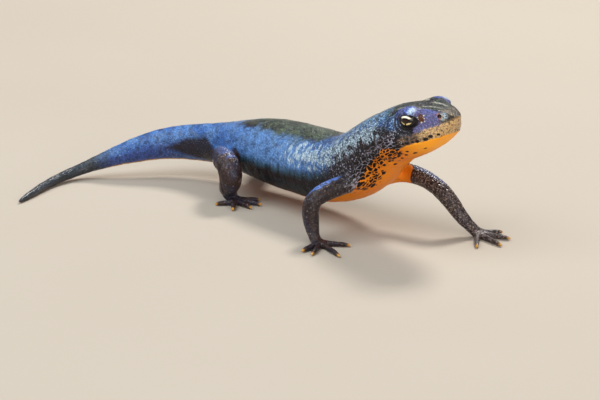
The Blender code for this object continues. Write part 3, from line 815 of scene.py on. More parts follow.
def body_turn(along, side, high, nearest):
    """How far round the body a point lies, from 0 on the back to 1 under the belly."""
    wide, up, down = LINE_SIZE[nearest].T
    on_head = fall(along, 7.0, 11.0)
    wide = on_head * LINE_HEAD[nearest, LIP] + (1 - on_head) * wide
    up = on_head * LINE_HEAD[nearest, CROWN] + (1 - on_head) * up
    down = on_head * -LINE_HEAD[nearest, THROAT] + (1 - on_head) * down
    return np.arctan2(np.abs(side) / wide, high / np.where(high > 0, up, down)) / math.pi


def segment_places(points, ends):
    """Share of a chain of segments passed at each point, and the distance from the chain."""
    ends = np.array(ends, float)
    runs = np.diff(ends, axis=0)
    lengths = np.linalg.norm(runs, axis=1)
    before = np.concatenate([[0], np.cumsum(lengths)])[:-1]
    best = np.full(len(points), 1e9)
    share = np.zeros(len(points))
    for start, run, length, passed in zip(ends, runs, lengths, before):
        t = np.clip(((points - start) @ run) / length**2, 0, 1)
        gap = np.linalg.norm(points - (start + t[:, None] * run), axis=1)
        closer = gap < best
        best[closer] = gap[closer]
        share[closer] = (passed + t * length)[closer] / lengths.sum()
    return share, best


# Where the skin of a leg passes into that of the body: distance from the leg's middle in radii,
# and share of the leg; then how far from a digit's line, and how high, its skin reaches
LIMB_EDGE = (1.15, 1.45)
LIMB_SETS_IN = (0.02, 0.14)
DIGIT_LINE_HEIGHT = 0.2
DIGIT_REACH = 0.75
DIGIT_TOP = 1.3


def limb_places(points):
    """Share of a leg passed, share of a digit passed, and how surely a point is on a leg."""
    share = np.zeros(len(points))
    digit = np.zeros(len(points))
    sure = np.zeros(len(points))
    for leg in LEGS.values():
        chain = [p[:3] for p in leg["points"]] + [leg["palm"]]
        radii = [p[3] for p in leg["points"]]
        stops = np.linspace(0, 1, len(chain))
        radius = np.interp(stops, np.linspace(0, 1, len(radii)), radii)
        passed, gap = segment_places(points, chain)
        reach = np.interp(passed, stops, radius)
        here = fall(gap / reach, *LIMB_EDGE)
        here *= rise(passed, *leg.get("dark_from", LIMB_SETS_IN))
        for tip in leg["tips"]:
            line = [leg["palm"], (*tip, DIGIT_LINE_HEIGHT)]
            along, off = segment_places(points, line)
            on_digit = (off < DIGIT_REACH) & (points[:, 2] < DIGIT_TOP)
            digit[on_digit] = np.maximum(digit[on_digit], along[on_digit])
            here[on_digit] = 1
            passed = np.where(on_digit, 1.0, passed)
        better = here > sure
        share[better] = passed[better]
        sure[better] = here[better]
    return share, digit, sure


# Lids: the opening between them as angles ahead, above and below, seen from the eye's middle,
# and how far its front corner lies below the line of the head, in degrees
LID_HALF_ANGLES = (63, 40, 46)
LID_TILT = 18

# Height of a lid's edge over the eyeball, what its roll adds, how much it sinks again further
# out, how deep the skin inside the opening lies under the eyeball's surface, the share of the
# opening at which the lid begins, and how far from the eyeball the skin is shaped
LID_EDGE = 0.06
LID_ROLL = 0.13
LID_SLOPE = 0.05
LID_SUNK = 0.12
LID_BEGINS = 0.96
LID_REACH = 1.1


def eye_places(points, side):
    """Reach from the middle of an eye, and places ahead, above and outward of it."""
    centre, out, ahead, above = (np.array(v) for v in eye_frame(side))
    offset = points - centre
    return np.linalg.norm(offset, axis=1), offset @ ahead, offset @ above, offset @ out


def tilted(x, y):
    """Places ahead and above along the level axes of the opening."""
    tilt = math.radians(LID_TILT)
    return x * math.cos(tilt) - y * math.sin(tilt), x * math.sin(tilt) + y * math.cos(tilt)


def lid_ratio(x, y, z):
    """How far from the axis of the eye, as a multiple of the opening between the lids."""
    x, y = tilted(x, y)
    turn = np.arctan2(y, x)
    wide, above, below = np.radians(LID_HALF_ANGLES)
    high = np.where(y > 0, above, below)
    opening = 1 / np.sqrt((np.cos(turn) / wide) ** 2 + (np.sin(turn) / high) ** 2)
    return np.arctan2(np.hypot(x, y), z) / opening


def orbit_creases(x, y, z):
    """Creases that ring the eye behind and below it."""
    ring = np.hypot(x / 1.14, y / 0.86)
    behind = rise(-(0.85 * x + 0.35 * y), -0.15, 0.75) * rise(z, -0.5, 0.0)
    return np.maximum(bell(ring, 1.38, 0.22), 0.85 * bell(ring, 1.80, 0.22)) * behind


def shape_lids(points, side):
    """Draws the rim of the hollow round the eyeball and sinks what lies inside the opening."""
    centre = np.array(eye_frame(side)[0])
    reach, x, y, z = eye_places(points, side)
    ratio = lid_ratio(x, y, z)
    near = (reach < EYE_RADIUS + LID_REACH) & (ratio < 1.9)
    inside = near & (ratio < LID_BEGINS)
    outside = near & ~inside
    least = EYE_RADIUS + LID_EDGE + LID_ROLL * rise(ratio, 0.98, 1.22)
    least = least - LID_SLOPE * rise(ratio, 1.3, 1.8)
    new = np.where(outside, np.maximum(reach, least), reach)
    new = np.where(outside, new + (least - new) * fall(ratio, 1.0, 1.35), new)
    new = np.where(inside, np.minimum(reach, EYE_RADIUS - LID_SUNK), new)
    return centre + (points - centre) * (new / np.maximum(reach, 1e-6))[:, None]


def relief(points, normals, places, limb):
    """Folds and lumps of the skin, in millimetres along its normals."""
    along, high = places[0], places[2]
    turn = body_turn(*places)
    share, digit, on_limb = limb
    wander = grain(points, 3.0, 11.0) * 0.5
    grooves = waves(along + wander, COSTAL_SPACING) ** 6
    depth = -COSTAL_DEPTH * grooves * bell(turn, 0.52, 0.34) * zone("costal grooves", along)
    folds = waves(along + 2.2 * wander + 0.12 * high, NECK_FOLD_SPACING) ** 4
    depth -= NECK_FOLD_DEPTH * folds * zone("neck folds", along) * bell(turn, 0.55, 0.35)
    depth += LUMP_HEIGHT * grain(points, 1.3, 3.0) * (1 - 0.7 * on_limb)
    depth += WRINKLE_HEIGHT * grain(points, 0.55, 7.0) * (1 - digit)
    for side in (-1, 1):
        _, x, y, z = eye_places(points, side)
        depth -= ORBIT_CREASE_DEPTH * orbit_creases(x, y, z)
        corner = bell(x, 1.85, 0.7) * bell(y, 0.1, 0.9) * rise(z, -0.2, 0.3)
        depth += EYE_CORNER_HEIGHT * grain(points, 0.35, 5.0) * corner
    bends = waves(share * JOINT_CREASES, 1.0) ** 3
    joint = bell(share, 0.42, 0.16) + bell(share, 0.86, 0.12)
    depth -= JOINT_CREASE_DEPTH * bends * joint * on_limb * (digit < 0.05)
    return points + normals * depth[:, None]


def spot_field(along, level, side, spots):
    """High inside each spot; a spot is a distance from the snout, a level, a radius and a side."""
    found = np.zeros(len(along))
    for s, height, radius, which in spots:
        gap = np.hypot(along - s, level - height)
        here = np.clip(1 - 0.5 * gap / radius, 0, 1)
        found = np.maximum(found, np.where(side * which > 0, here, 0))
    return found


def lip_spots():
    """A row of black spots along the lips, uneven in size and place."""
    spots = []
    for k in range(LIP_SPOT_COUNT):
        for which in (-1, 1):
            chance = noise.cell_vector(Vector((k * 3.1, which * 1.7, 0.5)))
            s = LIP_SPOTS_BEGIN + LIP_SPOT_SPACING * (k + 0.4 * chance.x)
            height = float(head(min(s, 9.0))[MOUTH]) + 0.02 + LIP_SPOT_STRAYS * chance.y
            spots.append((s, height, LIP_SPOT_RADIUS + LIP_SPOT_GROWTH * chance.z, which))
    return spots


def border(distance, width=1.0):
    """0.5 on a border, rising to 1 at this width inside it."""
    return np.clip(0.5 + 0.5 * distance / width, 0, 1)


def gap_to(points, place):
    """Distance of each point from a place."""
    return np.linalg.norm(points - place, axis=1)


def nostril_place(side):
    """The middle of the face that holds a nostril."""
    found = []
    for s in RINGS[NOSTRIL_RING : NOSTRIL_RING + 2]:
        ring = ring_points(s)
        found += [ring[column(side, ORBIT_COLUMN)], ring[column(side, ORBIT_COLUMN + 1)]]
    return np.array(sum(found, Vector()) / 4)


def merge(fields, more):
    """Adds regions to others, with the higher value where both hold the same one."""
    for name, values in more.items():
        fields[name] = np.maximum(fields.get(name, 0), values)


def eye_fields(points):
    """Regions round the eyes and nostrils."""
    fields = {}
    for side in (-1, 1):
        reach, x, y, z = eye_places(points, side)
        ratio = lid_ratio(x, y, z)
        close = reach < 3.2
        front = rise(z, -0.3, 0.2) * close
        hood = fall(np.hypot(x * 0.85, y - 0.5), 1.45, 2.0) * rise(y, 0.2, 0.5)
        hood = hood * rise(z, -1.2, -0.4)
        under_brow = rise(tilted(x, y)[1], 0.1, 0.5) * rise(ratio, 0.98, 1.05)
        nostril = nostril_place(side)
        # Painted highlights: a pale patch on each brow and one on the snout ahead of each nostril
        # stand in for reflections on the wet skin
        snout_highlight_middle = nostril + np.array(frame_at(1.0)[1]) * 0.60
        brow_highlight = bell(np.hypot(x - 0.75, y - 0.95), 0, 0.85) * front
        merge(fields, {
            "brow": hood * fall(x, 0.5, 1.3),
            "painted_highlight": np.maximum(brow_highlight, bell(gap_to(points, snout_highlight_middle), 0, 1.15)),
            "rim": bell(ratio, 0.96, 0.26) * (1 - 0.8 * under_brow) * (reach < 1.75) * front,
            # Painted shade: dark in the creases behind and below the eyes
            "crease_shade": orbit_creases(x, y, z) * close,
            "rust": bell(np.hypot((x - 1.50) / 0.75, y + 0.22), 0, 0.95) * front,
            "nostril": fall(gap_to(points, nostril), 0.1, 0.62),
        })
    return fields


def head_fields(along, side, high, nearest):
    """Regions of the lips, the sides of the snout and the crown."""
    sections = LINE_HEAD[nearest]
    mouth, canthus = sections[:, MOUTH], sections[:, CANTHUS_HEIGHT]
    out = np.abs(side) / sections[:, CANTHUS]
    lip_top = mouth + through(along, LIP_BORDER)
    lip = border(np.minimum(high - mouth + 0.15, lip_top + 0.12 - high), 0.6)
    lore = np.minimum(high - lip_top, canthus - 0.02 - high)
    lore = np.minimum(lore, np.minimum(along - 1.5, 4.9 - along))
    lore = np.minimum(lore, (out - 0.93) * sections[:, CANTHUS])
    crown = np.minimum(high - canthus + 0.42, 0.30 * (8.6 - along))
    ridge = bell(out, through(along, BROW_LINE), 0.16) * (high > canthus - 0.5)
    blue_ridge = 0.45 * bell(high, canthus - 0.20, 0.55) * bell(along, 3.0, 1.7)
    return {
        "lip": lip * fall(along, 6.4, 8.6),
        "lore": border(lore, 0.5),
        "crown": border(crown, 0.7),
        "ridge": ridge * zone("ridge", along),
        "brow": blue_ridge * (out > 0.85),
        "snout": fall(along, 1.5, 2.3) * rise(high - mouth, 0.5, 1.3),
    }


def back_fields(points, along, turn, girth):
    """The olive of the back and the blue beside it, with borders that wander."""
    ripple = grain(points, 1.6, 4.0)
    ragged = along + 3.4 * grain(points, 2.2, 2.0) + 1.6 * grain(points, 0.7, 5.0)
    wavy = turn + 0.13 * ripple * fall(turn, 0.20, 0.30)
    olive = through(ragged, OLIVE_BORDER) + 0.06 * ripple - turn
    flank = bell(wavy, 0.33, 0.27) * rise(along, 16.0, 20.0)
    rear = rise(ragged, 34.0, 43.0) * fall(turn, 0.74, 0.88)
    nape = bell(wavy, 0.16, 0.26) * rise(along, 6.0, 8.5) * fall(ragged, 15.0, 27.0)
    cheek = bell(along, 7.6, 2.4) * bell(turn, 0.27, 0.17)
    return {
        "olive": border(olive * girth, 2.6),
        "blue": np.maximum.reduce([flank, rear, 0.8 * nape, cheek]),
    }


def skin_fields(points, normals, places, limb):
    """The regions of the skin as values from 0 to 1 that cross 0.5 at a region's border."""
    along, side, high, nearest = places
    share, digit, on_limb = limb
    turn = body_turn(*places)
    girth = LINE_SIZE[nearest].mean(axis=1) * math.pi
    on_head = fall(along, 7.2, 9.6)
    left = side > 0

    from_belly = turn - through(along, BELLY_BORDER)
    from_mouth = LINE_HEAD[nearest, MOUTH] - 0.12 - high
    below = on_head * from_mouth + (1 - on_head) * from_belly * girth
    inward = rise(normals @ ARM_ROOT_FACING, -0.25, 0.20) - rise(normals[:, 2], 0.50, 0.85)
    below += 1.5 * bell(along, *ARM_ROOT) * left * inward
    streak_turn, streak_half = through(along, STREAK)
    streak = streak_half - np.abs((turn - streak_turn) * girth)
    blotch = bell(from_belly * girth, 0.3, 3.1) * zone("blotches", along)
    spots = np.maximum(
        spot_field(along, high, side, lip_spots()),
        spot_field(along, (turn - 0.5) * girth, side, THROAT_SPOTS),
    )

    fields = {
        "orange": border(below),
        "lower": border((turn - 0.47) * girth, 1.6) * zone("dark flank", along),
        "dapple": bell(turn, 0.34, 0.20) * zone("dapples", along),
        "streak": border(streak),
        "blotch": blotch * (1 - bell(along, 14.6, 6.0) * left),
        "spots": spots,
        "tail": rise(along, 57.5, 62.5),
        "edge": rise(turn, 0.76, 0.88) * rise(along, 40.0, 45.0),
    }
    merge(fields, head_fields(*places))
    merge(fields, back_fields(points, along, turn, girth))
    merge(fields, eye_fields(points))
    pale = 0.10 + 0.42 * zone("pale tops", along) * (turn < 0.75)
    pale += 0.22 * rise(along, 4.0, 5.5) * on_head
    fields["pale"] = np.clip(pale, 0, 0.85) * (1 - 0.8 * fields["crown"] * on_head)
    fields["crown"] = fields["crown"] * fall(along, 8.6, 10.5)
    fields = {name: values * (1 - on_limb) for name, values in fields.items()}

    on_left = points[:, 1] > LINE_PLACES[nearest, 1]
    # Painted sheen: blue laid where the legs face up and back, standing in for a reflection of the
    # sky
    painted_gleam = rise(normals @ SHEEN_FACING, 0.52, 0.70) * fall(share, 0.42, 0.56) * on_limb
    painted_gleam = painted_gleam * np.where(on_left, SHEEN_ON_LEFT, 1.0) * (1 - 0.6 * (along > 30.0))
    fields["pale"] += on_limb * (0.28 + 0.50 * on_left)
    fields.update(limb=on_limb, sheen=painted_gleam, tip=rise(digit, 0.86, 0.98))
    fields.update(along=along / STORED_LENGTH, turn=turn)
    return fields


def store_fields(mesh, fields):
    """Stores each region as a value at every point of the mesh."""
    for name, values in fields.items():
        layer = mesh.attributes.new(name, "FLOAT", "POINT")
        layer.data.foreach_set("value", values.astype(np.float32))


def read_vectors(items, key):
    """One vector of each item, such as its place or its normal, as rows of an array."""
    values = np.empty(len(items) * 3, np.float32)
    items.foreach_get(key, values)
    return values.reshape(-1, 3).astype(float)


def mesh_points(mesh):
    return read_vectors(mesh.vertices, "co")


def mesh_normals(mesh):
    return read_vectors(mesh.vertex_normals, "vector")


def set_points(mesh, points):
    mesh.vertices.foreach_set("co", points.astype(np.float32).ravel())
    mesh.update()


def place_shift():
    """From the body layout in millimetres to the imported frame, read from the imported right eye."""
    low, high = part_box("eye_right")
    return eye_frame(-1)[0] - (low + high) / 2 / MM


SHIFT = place_shift()


def make_skin():
    """One closed skin over the whole animal, subdivided, creased and thinned."""
    mesh = bpy.data.meshes.new("skin")
    cage = build_cage()
    cage.to_mesh(mesh)
    cage.free()
    skin = bpy.data.objects.new("skin", mesh)
    bpy.context.scene.collection.objects.link(skin)
    surface = skin.modifiers.new("surface", "SUBSURF")
    surface.levels = surface.render_levels = SKIN_LEVELS
    apply_modifiers(skin)

    points = mesh_points(skin.data)
    for side in (-1, 1):
        points = shape_lids(points, side)
    set_points(skin.data, points)
    places = body_places(points)
    limb = limb_places(points)
    points = relief(points, mesh_normals(skin.data), places, limb)
    points[:, 2] = np.maximum(points[:, 2], 0.0)
    set_points(skin.data, points)

    thin = skin.modifiers.new("thin", "DECIMATE")
    thin.ratio = SKIN_TRIANGLES / (2 * len(skin.data.polygons))
    apply_modifiers(skin)

    points = mesh_points(skin.data)
    places, limb = body_places(points), limb_places(points)
    store_fields(skin.data, skin_fields(points, mesh_normals(skin.data), places, limb))
    set_points(skin.data, (points - np.array(SHIFT)) * MM)
    skin.data.shade_smooth()
    return skin


def make_eye(side, name):
    """A ball with a slightly raised cornea; its iris follows the reaches stored at each point."""
    centre, out, ahead, above = eye_frame(side)
    deselect_all()
    bpy.ops.mesh.primitive_uv_sphere_add(segments=64, ring_count=48, radius=EYE_RADIUS)
    eye = bpy.context.active_object
    eye.name = eye.data.name = name
    local = mesh_points(eye.data)
    ends, full = (math.cos(math.radians(angle)) for angle in (CORNEA_ENDS, CORNEA_FULL))
    local[:, 2] += CORNEA_HEIGHT * rise(local[:, 2] / EYE_RADIUS, ends, full)
    basis = np.array([ahead, above, out])
    set_points(eye.data, ((local @ basis + np.array(centre)) - np.array(SHIFT)) * MM)
    ball = bmesh.new()
    ball.from_mesh(eye.data)
    if ball.calc_volume(signed=True) < 0:
        bmesh.ops.reverse_faces(ball, faces=ball.faces)
    ball.to_mesh(eye.data)
    ball.free()
    iris_ahead, iris_above = tilted(local[:, 0], local[:, 1])
    reaches = {"iris_ahead": iris_ahead, "iris_above": iris_above, "iris_out": local[:, 2]}
    store_fields(eye.data, reaches)
    eye.data.shade_smooth()
    return eye


class Finish:
    """A material built node by node, whose colour is painted in layers.

    A value can be a number, a node's output or the name of a region stored on the mesh.
    A mask can also be such a value with the two ends, and the results there, of a smooth ramp.
    """

    def __init__(self, name):
        self.material = bpy.data.materials.new(name)
        self.material.use_nodes = True
        self.tree = self.material.node_tree
        self.shader = self.tree.nodes["Principled BSDF"]
        self.where = self.node("TexCoord").outputs["Object"]
        self.regions = {}
        self.colour = None

    def region(self, name):
        """The value of a region that is stored on the mesh."""
        if name not in self.regions:
            self.regions[name] = self.node("Attribute", attribute_name=name).outputs["Fac"]
        return self.regions[name]

    def feed(self, node, values):
        """Sets or links a node's inputs."""
        for key, value in values.items():
            socket = node.inputs[key]
            if isinstance(value, str):
                value = self.region(value)
            if isinstance(value, bpy.types.NodeSocket):
                self.tree.links.new(value, socket)
            elif socket.type == "RGBA":
                socket.default_value = (*value, 1)
            else:
                socket.default_value = value

    def node(self, kind, values=None, **settings):
        node = self.tree.nodes.new("ShaderNode" + kind)
        for key, value in settings.items():
            setattr(node, key, value)
        self.feed(node, values or {})
        return node

    def maths(self, operation, *values, clamp=False):
        values = dict(enumerate(values))
        return self.node("Math", values, operation=operation, use_clamp=clamp).outputs["Value"]

    def plus(self, base, value, scale=1.0):
        """The base with a scaled value added."""
        return self.maths("MULTIPLY_ADD", value, scale, base)

    def rest(self, value):
        """What the value leaves of 1."""
        return self.maths("SUBTRACT", 1.0, value)

    def most(self, a, b):
        return self.maths("MAXIMUM", a, b)

    def mixed(self, a, b, share):
        """This share of a and the rest of b."""
        return self.plus(self.times(b, 1 - share), a, share)

    def ramp(self, value, low, high, to_low=0.0, to_high=1.0):
        """Passes smoothly from one result to the other as the value goes from low to high."""
        ends = {"From Min": low, "From Max": high, "To Min": to_low, "To Max": to_high}
        values = {"Value": value, **ends}
        return self.node("MapRange", values, interpolation_type="SMOOTHSTEP").outputs["Result"]

    def times(self, *masks):
        """The product of masks."""
        masks = [self.ramp(*mask) if isinstance(mask, tuple) else mask for mask in masks]
        product = masks[0]
        for mask in masks[1:]:
            product = self.maths("MULTIPLY", product, mask)
        return product

    def blend(self, mask, a, b):
        """Colour a where the mask is 0 and colour b where it is 1."""
        return self.node("Mix", {0: self.times(mask), 6: a, 7: b}, data_type="RGBA").outputs[2]

    def paint(self, tone, *masks):
        """Lays a tone over the colour where all the masks are 1."""
        self.colour = self.blend(self.times(*masks), self.colour, tone)

    def within(self, name, wander, half=0.06, lift=0.35):
        """1 inside a region, with a border that wanders by the mottling."""
        centred = self.maths("SUBTRACT", name, lift / 2)
        return self.ramp(self.plus(centred, wander, lift), 0.5 - half, 0.5 + half)

    def mottling(self, size, detail, rough, where=None):
        """Smooth random values round 0.5 with features of this size in millimetres."""
        values = {"Vector": where or self.where, "Scale": 1 / (size * MM)}
        values.update({"Detail": detail, "Roughness": rough})
        return self.node("TexNoise", values).outputs["Fac"]

    def cells(self, size, where=None, feature="F1"):
        """Distance to the middle of the nearest cell, or to its edge, and its random colour."""
        values = {"Vector": where or self.where, "Scale": 1 / (size * MM), "Randomness": 0.9}
        node = self.node("TexVoronoi", values, feature=feature)
        return node.outputs["Distance"], node.outputs.get("Color")

    def channels(self, colour):
        return self.node("SeparateColor", {"Color": colour}).outputs

    def vector(self, x, y):
        return self.node("CombineXYZ", {"X": x, "Y": y}).outputs["Vector"]

    def stretched(self, where, x, y):
        """Places scaled along and round the body."""
        return self.node("Mapping", {"Vector": where, "Scale": (x, y, 1.0)}).outputs["Vector"]


def paint_trunk_and_legs(skin, broad, patch, small, streaks):
    """Near black ground, rusty legs and a dark lower flank with pale upright streaks."""
    skin.colour = skin.blend((patch, 0.35, 0.65), NEAR_BLACK, DARK_BROWN)
    legs = skin.blend((patch, 0.3, 0.7), DARK_BROWN, RUST_BROWN)
    legs = skin.blend((broad, 0.50, 0.62, 0.0, 0.6), legs, LIMB_BLUE)
    greyer = skin.times(("pale", 0.40, 0.65), (small, 0.40, 0.62), 0.40)
    legs = skin.blend(greyer, legs, PALE_BROWN)
    skin.paint(legs, skin.within("limb", small, 0.10, 0.5))

    higher = skin.ramp("turn", 0.68, 0.46, -0.10, 0.18)
    flank = skin.blend((skin.plus(higher, streaks), 0.42, 0.68), INK, DEEP_TEAL)
    skin.paint(flank, skin.within("lower", streaks, 0.30, 0.60))
    skin.paint(UMBER, ("blotch", 0.2, 0.7), (patch, 0.35, 0.55))


def paint_back_and_tail(skin, broad, patch, small, streaks, wrapped):
    """Marbled blue of the flanks, nape and tail, dapples on the shoulders, olive on the back."""
    marble = (skin.mixed(small, patch, 0.4), 0.34, 0.58, 0.35, 1.0)
    blue = skin.blend((broad, 0.35, 0.65, 0.0, 0.6), SKY_BLUE, LIGHT_BLUE)
    on_trunk = skin.times(("along", 0.26, 0.34), ("along", 0.52, 0.42), 0.75)
    blue = skin.blend(on_trunk, blue, LIGHT_BLUE)
    on_tail = skin.times(("along", 0.56, 0.66), ("turn", 0.28, 0.55), 0.85)
    blue = skin.blend(on_tail, blue, TAIL_BLUE)
    on_nape = skin.times(("along", 0.26, 0.16), ("turn", 0.30, 0.14))
    blue = skin.blend(on_nape, blue, TURQUOISE)
    reach = skin.plus(skin.plus(-0.25, streaks, 0.5), "blue")
    skin.paint(blue, (reach, 0.10, 0.60), marble)

    tall = skin.mottling(0.60, 3.0, 0.65, skin.stretched(wrapped, 1.0, 0.45))
    drops = skin.plus(tall, "dapple", 0.14)
    skin.paint(FROST, ("dapple", 0.05, 0.4), (drops, 0.53, 0.66))

    clouds = skin.plus(skin.plus(skin.times(broad, 0.25), patch, 0.45), small, 0.3)
    mottled = skin.blend((clouds, 0.42, 0.56), DARK_GREEN, OLIVE)
    ragged = skin.mixed(broad, patch, 0.6)
    skin.paint(mottled, skin.within("olive", ragged, 0.34, 1.8), 0.95)
    skin.paint(STREAK_BROWN, skin.within("streak", patch, 0.22, 0.5), 0.95)
    skin.paint(skin.blend(patch, DARK_GREEN, TAIL_GREY), "tail", 0.9)


def paint_head(skin, patch, small, gritty, lore):
    """Green crown with a pale ridge, blue brows, violet sides of the snout, brown snout tip."""
    moss = skin.blend((skin.mixed(small, patch, 0.6), 0.50, 0.60), DARK_GREEN, OLIVE)
    skin.paint(moss, skin.within("crown", skin.mixed(small, patch, 0.4), 0.15, 0.9))
    skin.paint(RIDGE_PALE, ("ridge", 0.2, 0.6), (small, 0.30, 0.46))
    skin.paint(skin.blend((small, 0.35, 0.65), LORE_BLUE, LORE_VIOLET), lore)
    skin.paint(skin.blend((small, 0.4, 0.6), BROW_BLUE, LORE_BLUE), ("brow", 0.15, 0.6))
    snout = skin.blend((gritty, 0.42, 0.50), SNOUT_BROWN, DARK_BROWN)
    skin.paint(snout, skin.within("snout", small, 0.2), 0.9)


def paint_lips_and_underside(skin, broad, small, fine, lip, orange):
    """Beige lips that darken towards the rear, and the orange underside."""
    lip_front = skin.blend((skin.mixed(fine, small, 0.5), 0.40, 0.53), LIP_BROWN, LIP_BEIGE)
    lip_rear = skin.blend((small, 0.40, 0.60), DARK_BROWN, LIP_BROWN)
    skin.paint(skin.blend(("along", 0.040, 0.062, 0.0, 0.95), lip_front, lip_rear), lip, 0.95)
    warm = skin.blend((broad, 0.35, 0.65), ORANGE, DEEP_ORANGE)
    skin.paint(skin.blend(("along", 0.10, 0.05), warm, JAW_ORANGE), orange)
    skin.paint(TAIL_YELLOW, skin.within("edge", small, 0.15), 0.9)


def paint_granules(skin, broad, small, fine, granule, speck, chance, tone, dry, lip):
    """Dark lines between the granules, pale tops of some of them and a speckled painted highlight by
    the eyes and on the snout.
    """
    off_lips = skin.rest(skin.times(lip, 0.6))
    lines = skin.rest(skin.most(granule, speck))
    skin.paint(NEAR_BLACK, lines, dry, off_lips, ("along", 0.22, 0.34, 0.8, 0.4))
    likely = skin.plus(-0.25, skin.plus(chance["Red"], broad, 0.5))
    lit = skin.ramp(skin.plus(likely, "pale"), 0.92, 1.45)
    twinkle = skin.ramp(skin.plus(tone, "pale", 0.8), 0.95, 1.5)
    tops = skin.most(skin.times(lit, granule), skin.times(twinkle, speck))
    hue = skin.blend(("turn", 0.30, 0.48), FROST, PALE_LILAC)
    skin.paint(skin.blend("limb", hue, PALE_BROWN), tops, dry, 0.62)
    highlight_speckle = skin.mixed(fine, small, 0.8)
    # Painted highlight, speckled, on the brows and beside the snout
    skin.paint(FROST, ("painted_highlight", 0.15, 0.7), (highlight_speckle, 0.42, 0.54), 0.8)


def paint_blotches(skin, patch, small, gritty, wrapped, dry, lip):
    """A pale net of painted highlights round black blotches on the neck, and spots on the lips and
    throat.
    """
    bend = skin.vector(skin.times(small, 0.35 * MM), skin.times(patch, 0.9 * MM))
    bent = skin.node("VectorMath", {0: wrapped, 1: bend}, operation="ADD").outputs["Vector"]
    net = skin.stretched(bent, 0.75, 1.25)
    seam = skin.cells(BLOTCH, net, "DISTANCE_TO_EDGE")[0]
    pick = skin.channels(skin.cells(BLOTCH, net)[1])["Green"]
    chosen = skin.maths("LESS_THAN", pick, skin.plus(-0.08, "blotch", 1.35))
    blotch = skin.times(chosen, (skin.plus(seam, small, 0.14), 0.11, 0.17))
    # Painted highlight: pale lilac along the seams between the blotches
    seam_highlight = skin.times(("blotch", 0.30, 0.75), (seam, 0.10, 0.04), (small, 0.38, 0.54))
    skin.paint(PALE_LILAC, seam_highlight, dry, skin.rest(lip), 0.52)
    skin.paint(BLACK, skin.most(skin.within("spots", gritty, 0.05, 0.60), blotch))


def paint_details(skin, small, fine, gritty, granule, chance):
    """Painted shade in the creases round the eyes, their lids, rusty corners ahead of them, nostrils
    with painted shade in their pits, a painted gleam on the legs and fingertips.
    """
    # Painted shade in the creases behind and below the eyes
    skin.paint(NEAR_BLACK, ("crease_shade", 0.15, 0.55), 0.9)
    skin.paint(RUST, skin.within("rust", gritty, 0.10, 1.2))
    dots = ((granule, 0.25, 0.65), (chance["Green"], 0.30, 0.40))
    skin.paint(RIDGE_PALE, ("rust", 0.05, 0.25), *dots)
    damp = skin.mixed(small, fine, 0.6)
    skin.paint(NOSTRIL_ORANGE, ("nostril", 0.25, 0.55), (damp, 0.42, 0.54))
    # Painted shade: black in the pit of each nostril, standing in for the dark of its opening
    skin.paint(BLACK, ("nostril", 0.72, 0.86))
    skin.paint(BLACK, ("rim", 0.25, 0.65))
    # Painted sheen: blue reflection painted along the upper legs
    skin.paint(PAINTED_SHEEN_BLUE, "sheen", (small, 0.34, 0.52), 0.9)
    skin.paint(TIP_ORANGE, "tip", 0.85)


def skin_material():
    """Moist granular skin; what lies round the body is read from its stored turn and distance."""
    skin = Finish("newt_skin")
    broad, patch, small, fine = (skin.mottling(*sizes) for sizes in MOTTLING)
    gritty = skin.mixed(fine, small, 0.4)
    length, turned = skin.times("along", STORED_LENGTH * MM), skin.times("turn", STORED_TURN * MM)
    wrapped = skin.vector(length, turned)
    streaks = skin.mottling(0.55, 2.0, 0.6, skin.stretched(wrapped, 1.0, 0.16))
    away, pick = skin.cells(GRANULE)
    near, fine_pick = skin.cells(FINE_GRANULE)
    granule, speck = skin.ramp(away, 0.52, 0.14), skin.ramp(near, 0.52, 0.14)
    chance, tone = skin.channels(pick), skin.channels(fine_pick)["Green"]
    lore, lip = skin.within("lore", small, 0.10), skin.within("lip", small, 0.14)
    orange = skin.within("orange", patch, 0.05, 0.26)
    dry = skin.times(skin.rest(orange), skin.rest(skin.times(lore, 0.3)))

    paint_trunk_and_legs(skin, broad, patch, small, streaks)
    paint_back_and_tail(skin, broad, patch, small, streaks, wrapped)
    paint_head(skin, patch, small, gritty, lore)
    paint_lips_and_underside(skin, broad, small, fine, lip, orange)
    paint_granules(skin, broad, small, fine, granule, speck, chance, tone, dry, lip)
    paint_blotches(skin, patch, small, gritty, wrapped, dry, lip)
    paint_details(skin, small, fine, gritty, granule, chance)

    smooth = skin.most(orange, skin.times(lore, 0.6))
    height = skin.times(skin.plus(granule, speck, 0.45), (smooth, 0.0, 1.0, 1.0, 0.18))
    height = skin.plus(skin.plus(height, fine, 0.35), small, 0.6)
    bump = {"Strength": 0.6, "Distance": GRANULE_HEIGHT * MM, "Height": height}
    normal = skin.node("Bump", bump).outputs["Normal"]
    wet = skin.plus(skin.plus(0.36, "crown", -0.25), "lower", -0.26)
    skin.feed(skin.shader, {
        "Base Color": skin.colour,
        "Normal": normal,
        "Roughness": skin.plus(skin.ramp(fine, 0.3, 0.7, 0.26, 0.42), orange, 0.18),
        "Coat Weight": skin.times(wet, (orange, 0.0, 1.0, 1.0, 0.15)),
        "Specular IOR Level": 0.15,
        "Coat Roughness": 0.10,
        "Coat IOR": 1.38,
        "Coat Normal": normal,
    })
    return skin.material


